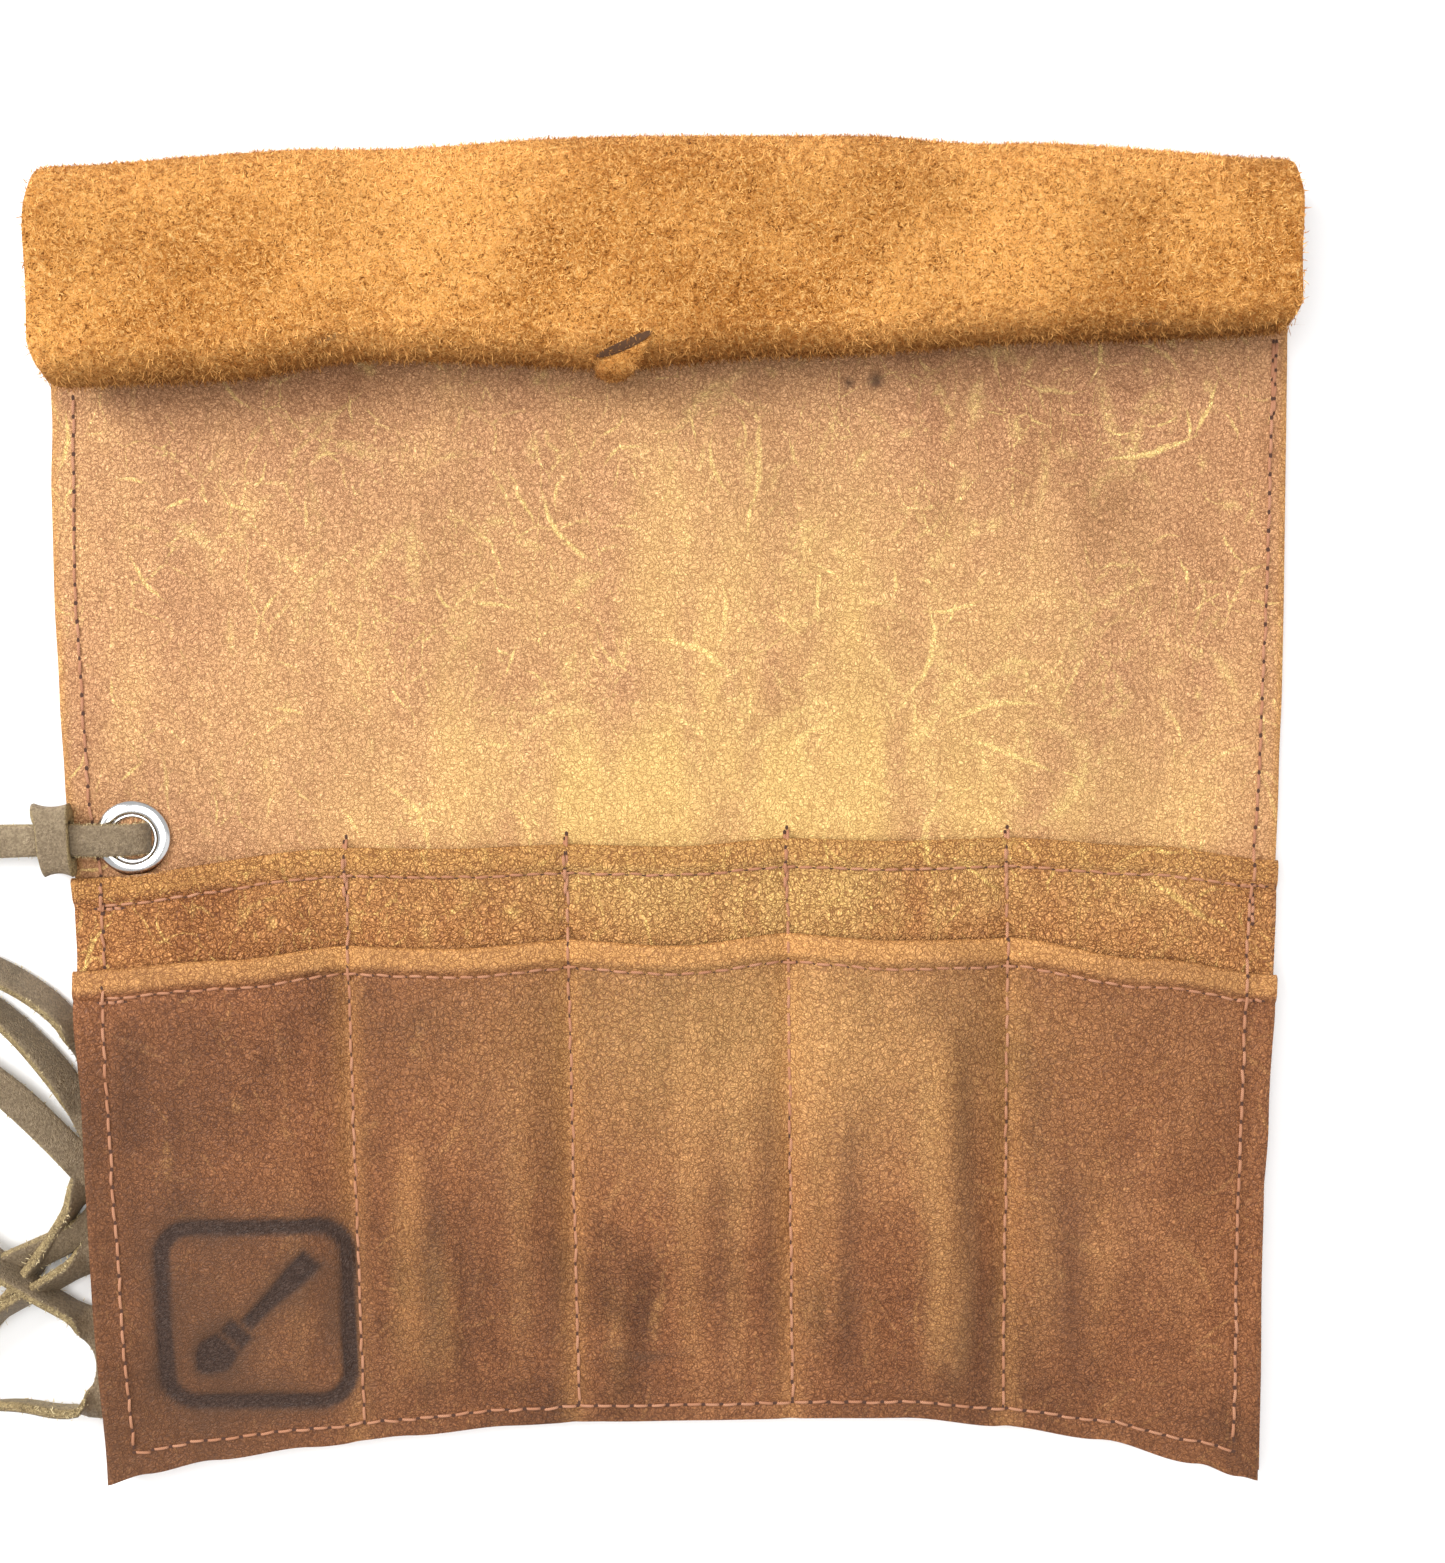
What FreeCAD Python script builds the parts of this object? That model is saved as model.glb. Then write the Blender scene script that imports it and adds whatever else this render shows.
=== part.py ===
import FreeCAD, Part
import math
import os
import Sketcher

from FreeCAD import Placement, Rotation, Vector

# Leather brush roll, opened out: +X to the right, +Y towards the rolled flap, +Z up, millimetres.
# The origin is on the table under the middle of the case, with the lace left out.

doc = FreeCAD.newDocument("brush_roll")

# ---------------------------------------------------------------- driving dimensions

SIZES = [
    ("case_width", 294.0, "left edge to right edge"),
    ("case_front", -161.0, "y of the bottom corners"),
    ("flap_start", 150.0, "y where the hide leaves the table and curls up into the flap"),
    ("cover_end", 140.0, "y of the outer cover's upper edge, under the roll"),
    ("bottom_arch", 12.0, "how far the bottom edge bows up in the middle"),
    ("cover_leather", 1.6, "thickness of the outer cover"),
    ("panel_leather", 1.8, "thickness of the hide that makes the panel and the flap"),
    ("pocket_leather", 1.6, "thickness of the two pocket panels"),
    ("layer_gap", 0.1, "air between two layers that lie on each other"),
    ("roll_back_radius", 11.0, "outside radius of the roll at the top edge"),
    ("roll_front_radius", 8.4, "outside radius of the roll on the pocket side"),
    ("roll_top_run", 29.0, "straight stretch on top of the roll"),
    ("flap_tail", 18.0, "straight end of the flap inside the roll"),
    ("strip_gap", 0.3, "gap between two strips of the flap"),
    ("back_pocket_top", -6.0, "y of the back pockets' hem"),
    ("front_pocket_top", -30.5, "y of the front pockets' hem"),
    ("pocket_rise", 4.8, "room inside an open pocket, front to back"),
    ("pocket_slope", 9.0, "width of a pocket's sloping side"),
    ("pocket_low", 33.0, "height above the case's front where the pockets start to close"),
    ("pocket_shut", 18.0, "height above the case's front where the pockets are flat again"),
    ("pocket_fall", 0.94, "share of a pocket's rise that is left where it starts to close"),
    ("divider_pitch", 54.0, "distance between two divider seams"),
    ("divider_flat", 5.0, "flat leather along a divider seam"),
    ("side_flat", 11.0, "flat leather along the left and right edges"),
    ("seam_inset", 7.0, "side seams from the edge"),
    ("hem_inset", 7.0, "hem seams below the pocket edge"),
    ("bottom_seam_inset", 4.0, "bottom seam from the bottom edge"),
    ("thread_width", 0.9, "thickness of the sewing thread"),
    ("thread_rise", 0.5, "height of a stitch above the leather"),
    ("eyelet_from_left", 13.6, "eyelet's centre from the left edge"),
    ("eyelet_y", -0.8, "eyelet's centre along the case"),
    ("eyelet_outside", 18.5, "outside diameter of the eyelet"),
    ("eyelet_play", 2.0, "how much wider the eyelet's hole is than the lace"),
    ("eyelet_flange", 1.2, "height of the eyelet's rim above the leather"),
    ("washer_flange", 0.5, "thickness of the washer set into the back"),
    ("fit_gap", 0.3, "clearance round the eyelet, the keeper and the lace"),
    ("lace_width", 8.0, "width of the flat lace"),
    ("lace_leather", 2.6, "thickness of the lace"),
    ("keeper_length", 8.0, "keeper along the lace"),
    ("keeper_wall", 1.9, "leather round the lace in the keeper"),
    ("keeper_cheek", 4.6, "leather at each side of the lace in the keeper"),
    ("coil_radius", 53.0, "outside radius of the loose coil of lace"),
    ("coil_hole", 30.0, "radius of the free middle of the coil"),
    ("coil_height", 9.0, "height of the coil"),
    ("coil_from_edge", 1.5, "gap between the coil and the case"),
    ("coil_y", -91.0, "middle of the coil along the case"),
]


def make_sheet():
    """Put every driving dimension into a spreadsheet, one row each."""
    sheet = doc.addObject("Spreadsheet::Sheet", "Sizes")
    for row, (alias, value, note) in enumerate(SIZES, start=1):
        sheet.set(f"A{row}", alias)
        sheet.set(f"B{row}", f"{value}")
        sheet.set(f"C{row}", note)
        sheet.setAlias(f"B{row}", alias)
    doc.recompute()
    return sheet


sheet = make_sheet()


def size(alias):
    """The value of one cell of the sheet."""
    return float(sheet.get(alias))


# Expressions for the heights of the layers, the same for every piece that lies on them.
HALF = "Sizes.case_width / 2"
PANEL_UNDER = "(Sizes.cover_leather + Sizes.layer_gap)"
PANEL_TOP = f"({PANEL_UNDER} + Sizes.panel_leather)"
BACK_UNDER = f"({PANEL_TOP} + Sizes.layer_gap)"
BACK_TOP = f"({BACK_UNDER} + Sizes.pocket_leather)"
FRONT_UNDER = f"({BACK_TOP} + Sizes.layer_gap)"
FRONT_TOP = f"({FRONT_UNDER} + Sizes.pocket_leather)"
ARCH_RADIUS = f"((({HALF}) ^ 2 + Sizes.bottom_arch ^ 2) / (2 * Sizes.bottom_arch))"
ARCH_CENTRE = f"(Sizes.case_front + Sizes.bottom_arch - {ARCH_RADIUS})"
EYELET_X = f"(Sizes.eyelet_from_left - {HALF})"
BORE_RADIUS = "((Sizes.lace_width + Sizes.eyelet_play) / 2)"
LACE_MIDDLE = f"({PANEL_TOP} + Sizes.eyelet_flange + Sizes.fit_gap + Sizes.lace_leather / 2)"
LACE_LEFT = f"(0 - {HALF} - Sizes.fit_gap)"


def layer_heights():
    """The same heights as numbers, for the pieces that are made in code."""
    panel_under = size("cover_leather") + size("layer_gap")
    panel_top = panel_under + size("panel_leather")
    back_under = panel_top + size("layer_gap")
    back_top = back_under + size("pocket_leather")
    front_under = back_top + size("layer_gap")
    return {
        "panel_under": panel_under,
        "panel_top": panel_top,
        "back_under": back_under,
        "back_top": back_top,
        "front_under": front_under,
        "front_top": front_under + size("pocket_leather"),
    }


# ---------------------------------------------------------------- small helpers

parts = []


def keep(piece, label):
    """Name a finished sub-part and put it on the list of those that are written."""
    piece.Label = label
    parts.append(piece)
    return piece


def bind(thing, **expressions):
    """Tie properties of an object to expressions on the sheet."""
    for name, expression in expressions.items():
        thing.setExpression(name.replace("__", "."), expression)
    return thing


def box(name, length, width, height, x, y, z):
    """A block, each size and each corner coordinate an expression."""
    block = doc.addObject("Part::Box", name)
    bind(block, Length=length, Width=width, Height=height)
    bind(block, Placement__Base__x=x, Placement__Base__y=y, Placement__Base__z=z)
    return block


def cylinder(name, radius, height, x, y, z, turn=None, angle="360"):
    """A cylinder along Z, or turned, with its size and centre as expressions."""
    rod = doc.addObject("Part::Cylinder", name)
    if turn is not None:
        rod.Placement = Placement(Vector(0, 0, 0), turn)
    bind(rod, Radius=radius, Height=height, Angle=angle)
    bind(rod, Placement__Base__x=x, Placement__Base__y=y, Placement__Base__z=z)
    return rod


def cut(name, base, tool):
    """Base with the tool taken away."""
    result = doc.addObject("Part::Cut", name)
    result.Base = base
    result.Tool = tool
    return result


def origin_plane(body, role):
    """One of a body's own three origin planes."""
    for feature in body.Origin.OriginFeatures:
        if feature.Role == role:
            return feature
    raise ValueError(role)


def outline(body, name, role, corners):
    """A closed sketch of straight lines, each corner held by two expressions."""
    sketch = body.newObject("Sketcher::SketchObject", name)
    sketch.AttachmentSupport = [(origin_plane(body, role), "")]
    sketch.MapMode = "FlatFace"
    count = len(corners)
    spots = [
        Vector(10 * math.cos(2 * math.pi * i / count), 10 * math.sin(2 * math.pi * i / count), 0)
        for i in range(count)
    ]
    for i in range(count):
        sketch.addGeometry(Part.LineSegment(spots[i], spots[(i + 1) % count]), False)
    for i in range(count):
        sketch.addConstraint(Sketcher.Constraint("Coincident", i, 2, (i + 1) % count, 1))
    for i, (across, along) in enumerate(corners):
        held = sketch.addConstraint(Sketcher.Constraint("DistanceX", i, 1, spots[i].x))
        sketch.setExpression(f"Constraints[{held}]", across)
        held = sketch.addConstraint(Sketcher.Constraint("DistanceY", i, 1, spots[i].y))
        sketch.setExpression(f"Constraints[{held}]", along)
    return sketch


def pad(body, sketch, length, middle=False):
    """A pad of the sketch, its length an expression."""
    feature = body.newObject("PartDesign::Pad", "Pad")
    feature.Profile = sketch
    feature.Midplane = middle
    bind(feature, Length=length)
    return feature


# ---------------------------------------------------------------- flat leather

def arch_tool(name):
    """The large cylinder whose side gives the bottom edge its bow."""
    return cylinder(name, ARCH_RADIUS, "100", "0", ARCH_CENTRE, "-50")


def eyelet_hole(name):
    """The hole that the eyelet's barrel goes through."""
    return cylinder(name, f"{BORE_RADIUS} + Sizes.washer_flange + Sizes.fit_gap",
                    "100", EYELET_X, "Sizes.eyelet_y", "-50")


def outer_cover():
    """Leather on the outside of the case, sewn on from the bottom up to the roll."""
    sheet_part = box("CoverSheet", "Sizes.case_width", "Sizes.cover_end - Sizes.case_front",
                     "Sizes.cover_leather", f"0 - {HALF}", "Sizes.case_front", "0")
    arched = cut("CoverArched", sheet_part, arch_tool("CoverArch"))
    washer_room = cylinder("CoverWasherRoom", "Sizes.eyelet_outside / 2 + Sizes.fit_gap",
                           "Sizes.washer_flange + Sizes.layer_gap + 50",
                           EYELET_X, "Sizes.eyelet_y", "-50")
    holed = cut("CoverHoled", arched, eyelet_hole("CoverHole"))
    keep(cut("Cover", holed, washer_room), "outer_cover")


def body_panel():
    """The main hide, grain side up, whole from the bottom edge to the start of the flap."""
    sheet_part = box("PanelSheet", "Sizes.case_width",
                     "Sizes.flap_start - Sizes.strip_gap / 2 - Sizes.case_front",
                     "Sizes.panel_leather", f"0 - {HALF}", "Sizes.case_front", PANEL_UNDER)
    arched = cut("PanelArched", sheet_part, arch_tool("PanelArch"))
    keep(cut("Panel", arched, eyelet_hole("PanelHole")), "body_panel")


# ---------------------------------------------------------------- pockets

def pocket_bulge():
    """Points (x, share of the full rise) across the case, left to right, for five pockets."""
    half = size("case_width") / 2
    flat = size("divider_flat") / 2
    slope = size("pocket_slope")
    seams = [size("divider_pitch") * k for k in (-1.5, -0.5, 0.5, 1.5)]
    starts = [-half + size("side_flat")] + [seam + flat for seam in seams]
    ends = [seam - flat for seam in seams] + [half - size("side_flat")]
    points = [(-half, 0.0)]
    for start, end in zip(starts, ends):
        points += [(start, 0.0), (start + slope, 1.0), (end - slope, 1.0), (end, 0.0)]
    points.append((half, 0.0))
    return points


def leather_section(y, under, rise, thickness, width=None):
    """Closed wire at one y: the bulged strip between its underside and its top."""
    low = [Vector(x, y, under + rise * share) for x, share in pocket_bulge()]
    high = [point + Vector(0, 0, thickness) for point in reversed(low)]
    return Part.makePolygon(low + high + [low[0]])


def pocket_shape(top, under, rises):
    """Ruled loft through the hem, the low end of the room and the shut end, with the bow cut."""
    thickness = size("pocket_leather")
    stations = (
        (top, rises),
        (size("case_front") + size("pocket_low"), rises * size("pocket_fall")),
        (size("case_front") + size("pocket_shut"), 0.0),
        (size("case_front"), 0.0),
    )
    wires = [leather_section(y, under, rise, thickness) for y, rise in stations]
    solids = [Part.makeLoft([a, b], True, True) for a, b in zip(wires, wires[1:])]
    whole = solids[0].fuse(solids[1:]).removeSplitter()
    half = size("case_width") / 2
    radius = (half ** 2 + size("bottom_arch") ** 2) / (2 * size("bottom_arch"))
    centre = size("case_front") + size("bottom_arch") - radius
    whole = whole.cut(Part.makeCylinder(radius, 100, Vector(0, centre, -50)))
    return whole


def pocket_panel(label, top, under, rises, clear_eyelet):
    """One pocket panel: five open pockets side by side in one sheet."""
    shape = pocket_shape(top, under, rises)
    if clear_eyelet:
        x = size("eyelet_from_left") - size("case_width") / 2
        room = size("eyelet_outside") / 2 + size("fit_gap")
        shape = shape.cut(Part.makeCylinder(room, 100, Vector(x, size("eyelet_y"), -50)))
    feature = doc.addObject("Part::Feature", label)
    feature.Shape = shape.Solids[0]
    feature.Placement = Placement()
    keep(feature, label)


# ---------------------------------------------------------------- flap

# The roll goes up at the back, forward over the top, down at the front and back inside.

def curl_strip(label, radius, centre_y, centre_z, start):
    """A quarter of a tube along X, starting at an angle from straight down, anticlockwise."""
    gap = f"(Sizes.strip_gap / ({radius}) * 90 / pi)"
    whole = cylinder(label + "Outer", radius, "Sizes.case_width", f"0 - {HALF}", centre_y, centre_z,
                     quarter_turn(start, size("strip_gap") / size_of(radius)),
                     f"90 - 2 * {gap}")
    core = cylinder(label + "Inner", f"{radius} - Sizes.panel_leather", "Sizes.case_width",
                    f"0 - {HALF}", centre_y, centre_z,
                    quarter_turn(start, size("strip_gap") / size_of(radius)))
    keep(cut(label + "Cut", whole, core), label)


def size_of(expression):
    """The number behind an expression that is one cell of the sheet."""
    return size(expression.replace("Sizes.", ""))


def quarter_turn(start, gap_angle):
    """Turn a cylinder's own X axis to the start angle in the YZ plane, its length along X."""
    along_x = Rotation(Vector(1, 0, 0), Vector(0, 0, 1), Vector(0, 1, 0), "ZXY")
    first = math.radians(start) + gap_angle / 2
    direction = Vector(0, math.sin(first), -math.cos(first))
    return Rotation(direction, Vector(1, 0, 0).cross(direction), Vector(1, 0, 0), "ZXY")


ROLL_TOP = f"({PANEL_UNDER} + 2 * Sizes.roll_back_radius)"
BACK_CENTRE_Z = f"({PANEL_UNDER} + Sizes.roll_back_radius)"
FRONT_CENTRE_Y = "(Sizes.flap_start - Sizes.roll_top_run)"
FRONT_CENTRE_Z = f"({ROLL_TOP} - Sizes.roll_front_radius)"


def flap():
    """The rolled flap in six strips that hinge on its suede side."""
    curl_strip("flap_strip_1", "Sizes.roll_back_radius", "Sizes.flap_start", BACK_CENTRE_Z, 0)
    curl_strip("flap_strip_2", "Sizes.roll_back_radius", "Sizes.flap_start", BACK_CENTRE_Z, 90)
    keep(box("TopRun", "Sizes.case_width", "Sizes.roll_top_run - Sizes.strip_gap",
             "Sizes.panel_leather", f"0 - {HALF}", f"{FRONT_CENTRE_Y} + Sizes.strip_gap / 2",
             f"{ROLL_TOP} - Sizes.panel_leather"), "flap_strip_3")
    curl_strip("flap_strip_4", "Sizes.roll_front_radius", FRONT_CENTRE_Y, FRONT_CENTRE_Z, 180)
    curl_strip("flap_strip_5", "Sizes.roll_front_radius", FRONT_CENTRE_Y, FRONT_CENTRE_Z, 270)
    keep(box("Tail", "Sizes.case_width", "Sizes.flap_tail - Sizes.strip_gap / 2",
             "Sizes.panel_leather", f"0 - {HALF}", f"{FRONT_CENTRE_Y} + Sizes.strip_gap / 2",
             f"{ROLL_TOP} - 2 * Sizes.roll_front_radius"), "flap_strip_6")


# ---------------------------------------------------------------- seams

def stepped_thread(label, x, start, end):
    """A thread along Y that steps up on to the back pocket and the front pocket."""
    body = doc.addObject("PartDesign::Body", label)
    rise = "Sizes.thread_rise"
    side = [
        (start, f"{PANEL_TOP} + {rise}"),
        (f"Sizes.back_pocket_top + {rise}", f"{PANEL_TOP} + {rise}"),
        (f"Sizes.back_pocket_top + {rise}", f"{BACK_TOP} + {rise}"),
        (f"Sizes.front_pocket_top + {rise}", f"{BACK_TOP} + {rise}"),
        (f"Sizes.front_pocket_top + {rise}", f"{FRONT_TOP} + {rise}"),
        (end, f"{FRONT_TOP} + {rise}"),
        (end, FRONT_TOP),
        ("Sizes.front_pocket_top", FRONT_TOP),
        ("Sizes.front_pocket_top", BACK_TOP),
        ("Sizes.back_pocket_top", BACK_TOP),
        ("Sizes.back_pocket_top", PANEL_TOP),
        (start, PANEL_TOP),
    ]
    sketch = outline(body, label + "Path", "YZ_Plane", side)
    pad(body, sketch, "Sizes.thread_width", middle=True)
    bind(body, Placement__Base__x=x)
    return body


def seams_along():
    """Left and right seams and the four dividers."""
    end = "Sizes.case_front + Sizes.bottom_seam_inset + Sizes.thread_width"
    high_end = "Sizes.case_front + Sizes.bottom_arch + Sizes.bottom_seam_inset + Sizes.thread_width"
    side_start = "Sizes.flap_start - Sizes.strip_gap / 2 - Sizes.fit_gap"
    left = stepped_thread("LeftSeam", f"Sizes.seam_inset - {HALF}", side_start, end)
    around_eyelet = cylinder("LeftSeamBreak", "Sizes.eyelet_outside / 2 + Sizes.fit_gap", "100",
                             EYELET_X, "Sizes.eyelet_y", "-50")
    keep(cut("LeftSeamCut", left, around_eyelet), "left_seam_thread")
    right = stepped_thread("RightSeam", f"{HALF} - Sizes.seam_inset", side_start, end)
    keep(right, "right_seam_thread")
    start = "Sizes.back_pocket_top + Sizes.fit_gap + Sizes.thread_width"
    for number, place in enumerate((-1.5, -0.5, 0.5, 1.5), start=1):
        seam = stepped_thread(f"Divider{number}", f"Sizes.divider_pitch * {place}", start, high_end)
        keep(seam, f"divider_thread_{number}")


def hem_thread(label, top, surface, rise):
    """A thread along X that follows the pockets up and down, cut out round the side seams."""
    y = size(top) - size("hem_inset")
    half = size("case_width") / 2
    reach = half - size("seam_inset") - size("thread_width")
    wire = leather_section(y, surface, rise, size("thread_rise"))
    face = Part.Face(wire)
    shape = face.extrude(Vector(0, size("thread_width"), 0))
    trim = Part.makeBox(2 * reach, 20, 100, Vector(-reach, y - 10, -10))
    shape = shape.common(trim)
    slot = size("thread_width") + 2 * size("layer_gap")
    for place in (-1.5, -0.5, 0.5, 1.5):
        x = size("divider_pitch") * place
        shape = shape.cut(Part.makeBox(slot, 20, 100, Vector(x - slot / 2, y - 10, -10)))
    feature = doc.addObject("Part::Feature", label)
    feature.Shape = shape
    feature.Placement = Placement()
    keep(feature, label)


def bottom_thread(surface):
    """The seam that follows the bowed bottom edge, on the flat end of the front pockets."""
    half = size("case_width") / 2
    arch = size("bottom_arch")
    radius = (half ** 2 + arch ** 2) / (2 * arch) + size("bottom_seam_inset")
    centre = Vector(0, size("case_front") + arch - radius + size("bottom_seam_inset"), surface)
    ring = Part.makeCylinder(radius + size("thread_width"), size("thread_rise"), centre)
    ring = ring.cut(Part.makeCylinder(radius, size("thread_rise"), centre))
    reach = half - size("seam_inset") - size("thread_width")
    trim = Part.makeBox(2 * reach, 200, 50, Vector(-reach, size("case_front") - 10, 0))
    feature = doc.addObject("Part::Feature", "bottom_seam_thread")
    feature.Shape = ring.common(trim).Solids[0]
    feature.Placement = Placement()
    keep(feature, "bottom_seam_thread")


# ---------------------------------------------------------------- eyelet and lace

def eyelet_ring():
    """Domed rim and barrel of the eyelet, turned about its own axis."""
    body = doc.addObject("PartDesign::Body", "EyeletRing")
    bore = BORE_RADIUS
    rim = "Sizes.eyelet_outside / 2"
    corners = [
        (bore, "Sizes.washer_flange + Sizes.layer_gap"),
        (f"{bore} + Sizes.washer_flange", "Sizes.washer_flange + Sizes.layer_gap"),
        (f"{bore} + Sizes.washer_flange", PANEL_TOP),
        (rim, PANEL_TOP),
        (rim, f"{PANEL_TOP} + 0.3 * Sizes.eyelet_flange"),
        (f"{rim} - 0.8 * Sizes.eyelet_flange", f"{PANEL_TOP} + 0.9 * Sizes.eyelet_flange"),
        (f"({bore} + {rim}) / 2", f"{PANEL_TOP} + Sizes.eyelet_flange"),
        (f"{bore} + 0.6 * Sizes.eyelet_flange", f"{PANEL_TOP} + 0.7 * Sizes.eyelet_flange"),
        (bore, PANEL_TOP),
    ]
    sketch = outline(body, "EyeletProfile", "XZ_Plane", corners)
    turned = body.newObject("PartDesign::Revolution", "EyeletTurned")
    turned.Profile = sketch
    turned.ReferenceAxis = (sketch, ["V_Axis"])
    turned.Angle = 360
    bind(body, Placement__Base__x=EYELET_X, Placement__Base__y="Sizes.eyelet_y")
    keep(body, "eyelet_ring")


def eyelet_washer():
    """Flat washer behind the leather that the eyelet's barrel is rolled over."""
    disc = cylinder("WasherDisc", "Sizes.eyelet_outside / 2", "Sizes.washer_flange",
                    EYELET_X, "Sizes.eyelet_y", "Sizes.layer_gap")
    bore = cylinder("WasherBore", BORE_RADIUS, "10", EYELET_X, "Sizes.eyelet_y", "-5")
    keep(cut("Washer", disc, bore), "eyelet_washer")


def lace_loop():
    """The lace from inside the eyelet up over its rim and out to the edge of the case."""
    half_width = "Sizes.lace_width / 2"
    body = doc.addObject("PartDesign::Body", "LaceLoop")
    reach = f"sqrt({BORE_RADIUS} ^ 2 - ({half_width} - 2 * Sizes.fit_gap) ^ 2)"
    inner = f"{EYELET_X} + {reach} - Sizes.fit_gap"
    lace_top = f"{LACE_MIDDLE} + Sizes.lace_leather / 2"
    lace_low = f"{LACE_MIDDLE} - Sizes.lace_leather / 2"
    corners = [
        (LACE_LEFT, lace_low),
        (f"{inner} - Sizes.lace_leather", lace_low),
        (f"{inner} - Sizes.lace_leather", "Sizes.washer_flange"),
        (inner, "Sizes.washer_flange"),
        (inner, lace_top),
        (LACE_LEFT, lace_top),
    ]
    sketch = outline(body, "LaceLoopSide", "XZ_Plane", corners)
    pad(body, sketch, f"2 * ({half_width} - 2 * Sizes.fit_gap)", middle=True)
    bind(body, Placement__Base__y="Sizes.eyelet_y")
    keep(body, "lace_loop")


def lace_keeper():
    """Leather band round the lace, free to slide along it."""
    wide = "(Sizes.lace_width + 2 * Sizes.keeper_cheek)"
    tall = "(Sizes.lace_leather + 2 * Sizes.keeper_wall)"
    x = f"{LACE_LEFT} - Sizes.keeper_length - Sizes.fit_gap"
    block = box("KeeperBlock", "Sizes.keeper_length", wide, tall, x,
                f"Sizes.eyelet_y - {wide} / 2", f"{LACE_MIDDLE} - {tall} / 2")
    slot_wide = "(Sizes.lace_width + 2 * Sizes.fit_gap)"
    slot_tall = "(Sizes.lace_leather + 2 * Sizes.fit_gap)"
    slot = box("KeeperSlot", "Sizes.keeper_length + 10", slot_wide, slot_tall, f"{x} - 5",
               f"Sizes.eyelet_y - {slot_wide} / 2", f"{LACE_MIDDLE} - {slot_tall} / 2")
    keep(cut("Keeper", block, slot), "lace_keeper")


# Route of the free lace, from the edge of the case to the coil, chosen by hand.
LACE_ROUTE = [
    (-147.3, -0.8, 6.3),
    (-176.0, -0.8, 6.3),
    (-199.0, -4.5, 4.2),
    (-219.0, -14.5, 2.2),
    (-232.0, -32.0, 2.2),
    (-237.6, -54.9, 2.2),
]


def rounded_path(points):
    """Straight runs joined by tangent arcs, each as large as its two runs allow."""
    edges = []
    last = points[0]
    for before, corner, after in zip(points, points[1:], points[2:]):
        back = (before - corner)
        ahead = (after - corner)
        turn = math.pi - back.getAngle(ahead)
        reach = 0.45 * min(back.Length, ahead.Length)
        radius = reach / math.tan(turn / 2)
        print(f"lace bend of {math.degrees(turn):.0f} degrees, radius {radius:.1f} mm")
        first = corner + back.normalize() * reach
        second = corner + ahead.normalize() * reach
        middle_way = (back + ahead).normalize()
        to_centre = math.hypot(radius, reach)
        middle = corner + middle_way * (to_centre - radius)
        edges.append(Part.LineSegment(last, first).toShape())
        edges.append(Part.Arc(first, middle, second).toShape())
        last = second
    edges.append(Part.LineSegment(last, points[-1]).toShape())
    return Part.Wire(edges)


def lace_run():
    """The free lace between the case and its coil, as a plain tube."""
    route = [Vector(*point) for point in LACE_ROUTE]
    path = rounded_path(route)
    radius = size("lace_leather") / 2
    ring = Part.Wire(Part.makeCircle(radius, route[0], route[1] - route[0]))
    tube = path.makePipeShell([ring], True, False)
    expected = math.pi * radius ** 2 * path.Length
    print(f"lace tube volume {tube.Volume:.0f} mm3, section times length {expected:.0f} mm3")
    feature = doc.addObject("Part::Feature", "lace_run")
    feature.Shape = tube.Solids[0] if tube.Solids else Part.Solid(tube)
    feature.Placement = Placement()
    keep(feature, "lace_run")


def lace_coil():
    """Outer shape of the loose coil that the rest of the lace lies in."""
    x = f"(0 - {HALF} - Sizes.coil_from_edge - Sizes.coil_radius)"
    disc = cylinder("CoilDisc", "Sizes.coil_radius", "Sizes.coil_height", x, "Sizes.coil_y", "0")
    hole = cylinder("CoilHole", "Sizes.coil_hole", "100", x, "Sizes.coil_y", "-50")
    keep(cut("Coil", disc, hole), "lace_coil")


# ---------------------------------------------------------------- build, check and write

def build():
    """Make every sub-part."""
    heights = layer_heights()
    outer_cover()
    body_panel()
    rise = size("pocket_rise")
    pocket_panel("back_pocket_panel", size("back_pocket_top"), heights["back_under"], rise, True)
    pocket_panel("front_pocket_panel", size("front_pocket_top"), heights["front_under"],
                 2 * rise, False)
    flap()
    seams_along()
    hem_thread("back_hem_thread", "back_pocket_top", heights["back_top"], rise)
    hem_thread("front_hem_thread", "front_pocket_top", heights["front_top"], 2 * rise)
    bottom_thread(heights["front_top"])
    eyelet_ring()
    eyelet_washer()
    lace_loop()
    lace_keeper()
    lace_run()
    lace_coil()


def check():
    """Stop if any object failed or any sub-part's shape is empty or broken."""
    for thing in doc.Objects:
        if "Invalid" in thing.State or "Error" in thing.State:
            raise RuntimeError(f"{thing.Name} failed: {thing.State}")
    for piece in parts:
        if piece.Shape.isNull() or not piece.Shape.isValid():
            raise RuntimeError(f"{piece.Label} has no valid shape")


build()
doc.recompute()
check()
os.makedirs("parts", exist_ok=True)
for piece in parts:
    piece.Shape.exportStep(f"parts/{piece.Label}.step")
print(f"{len(parts)} sub-parts written")
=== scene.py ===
import math

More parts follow.
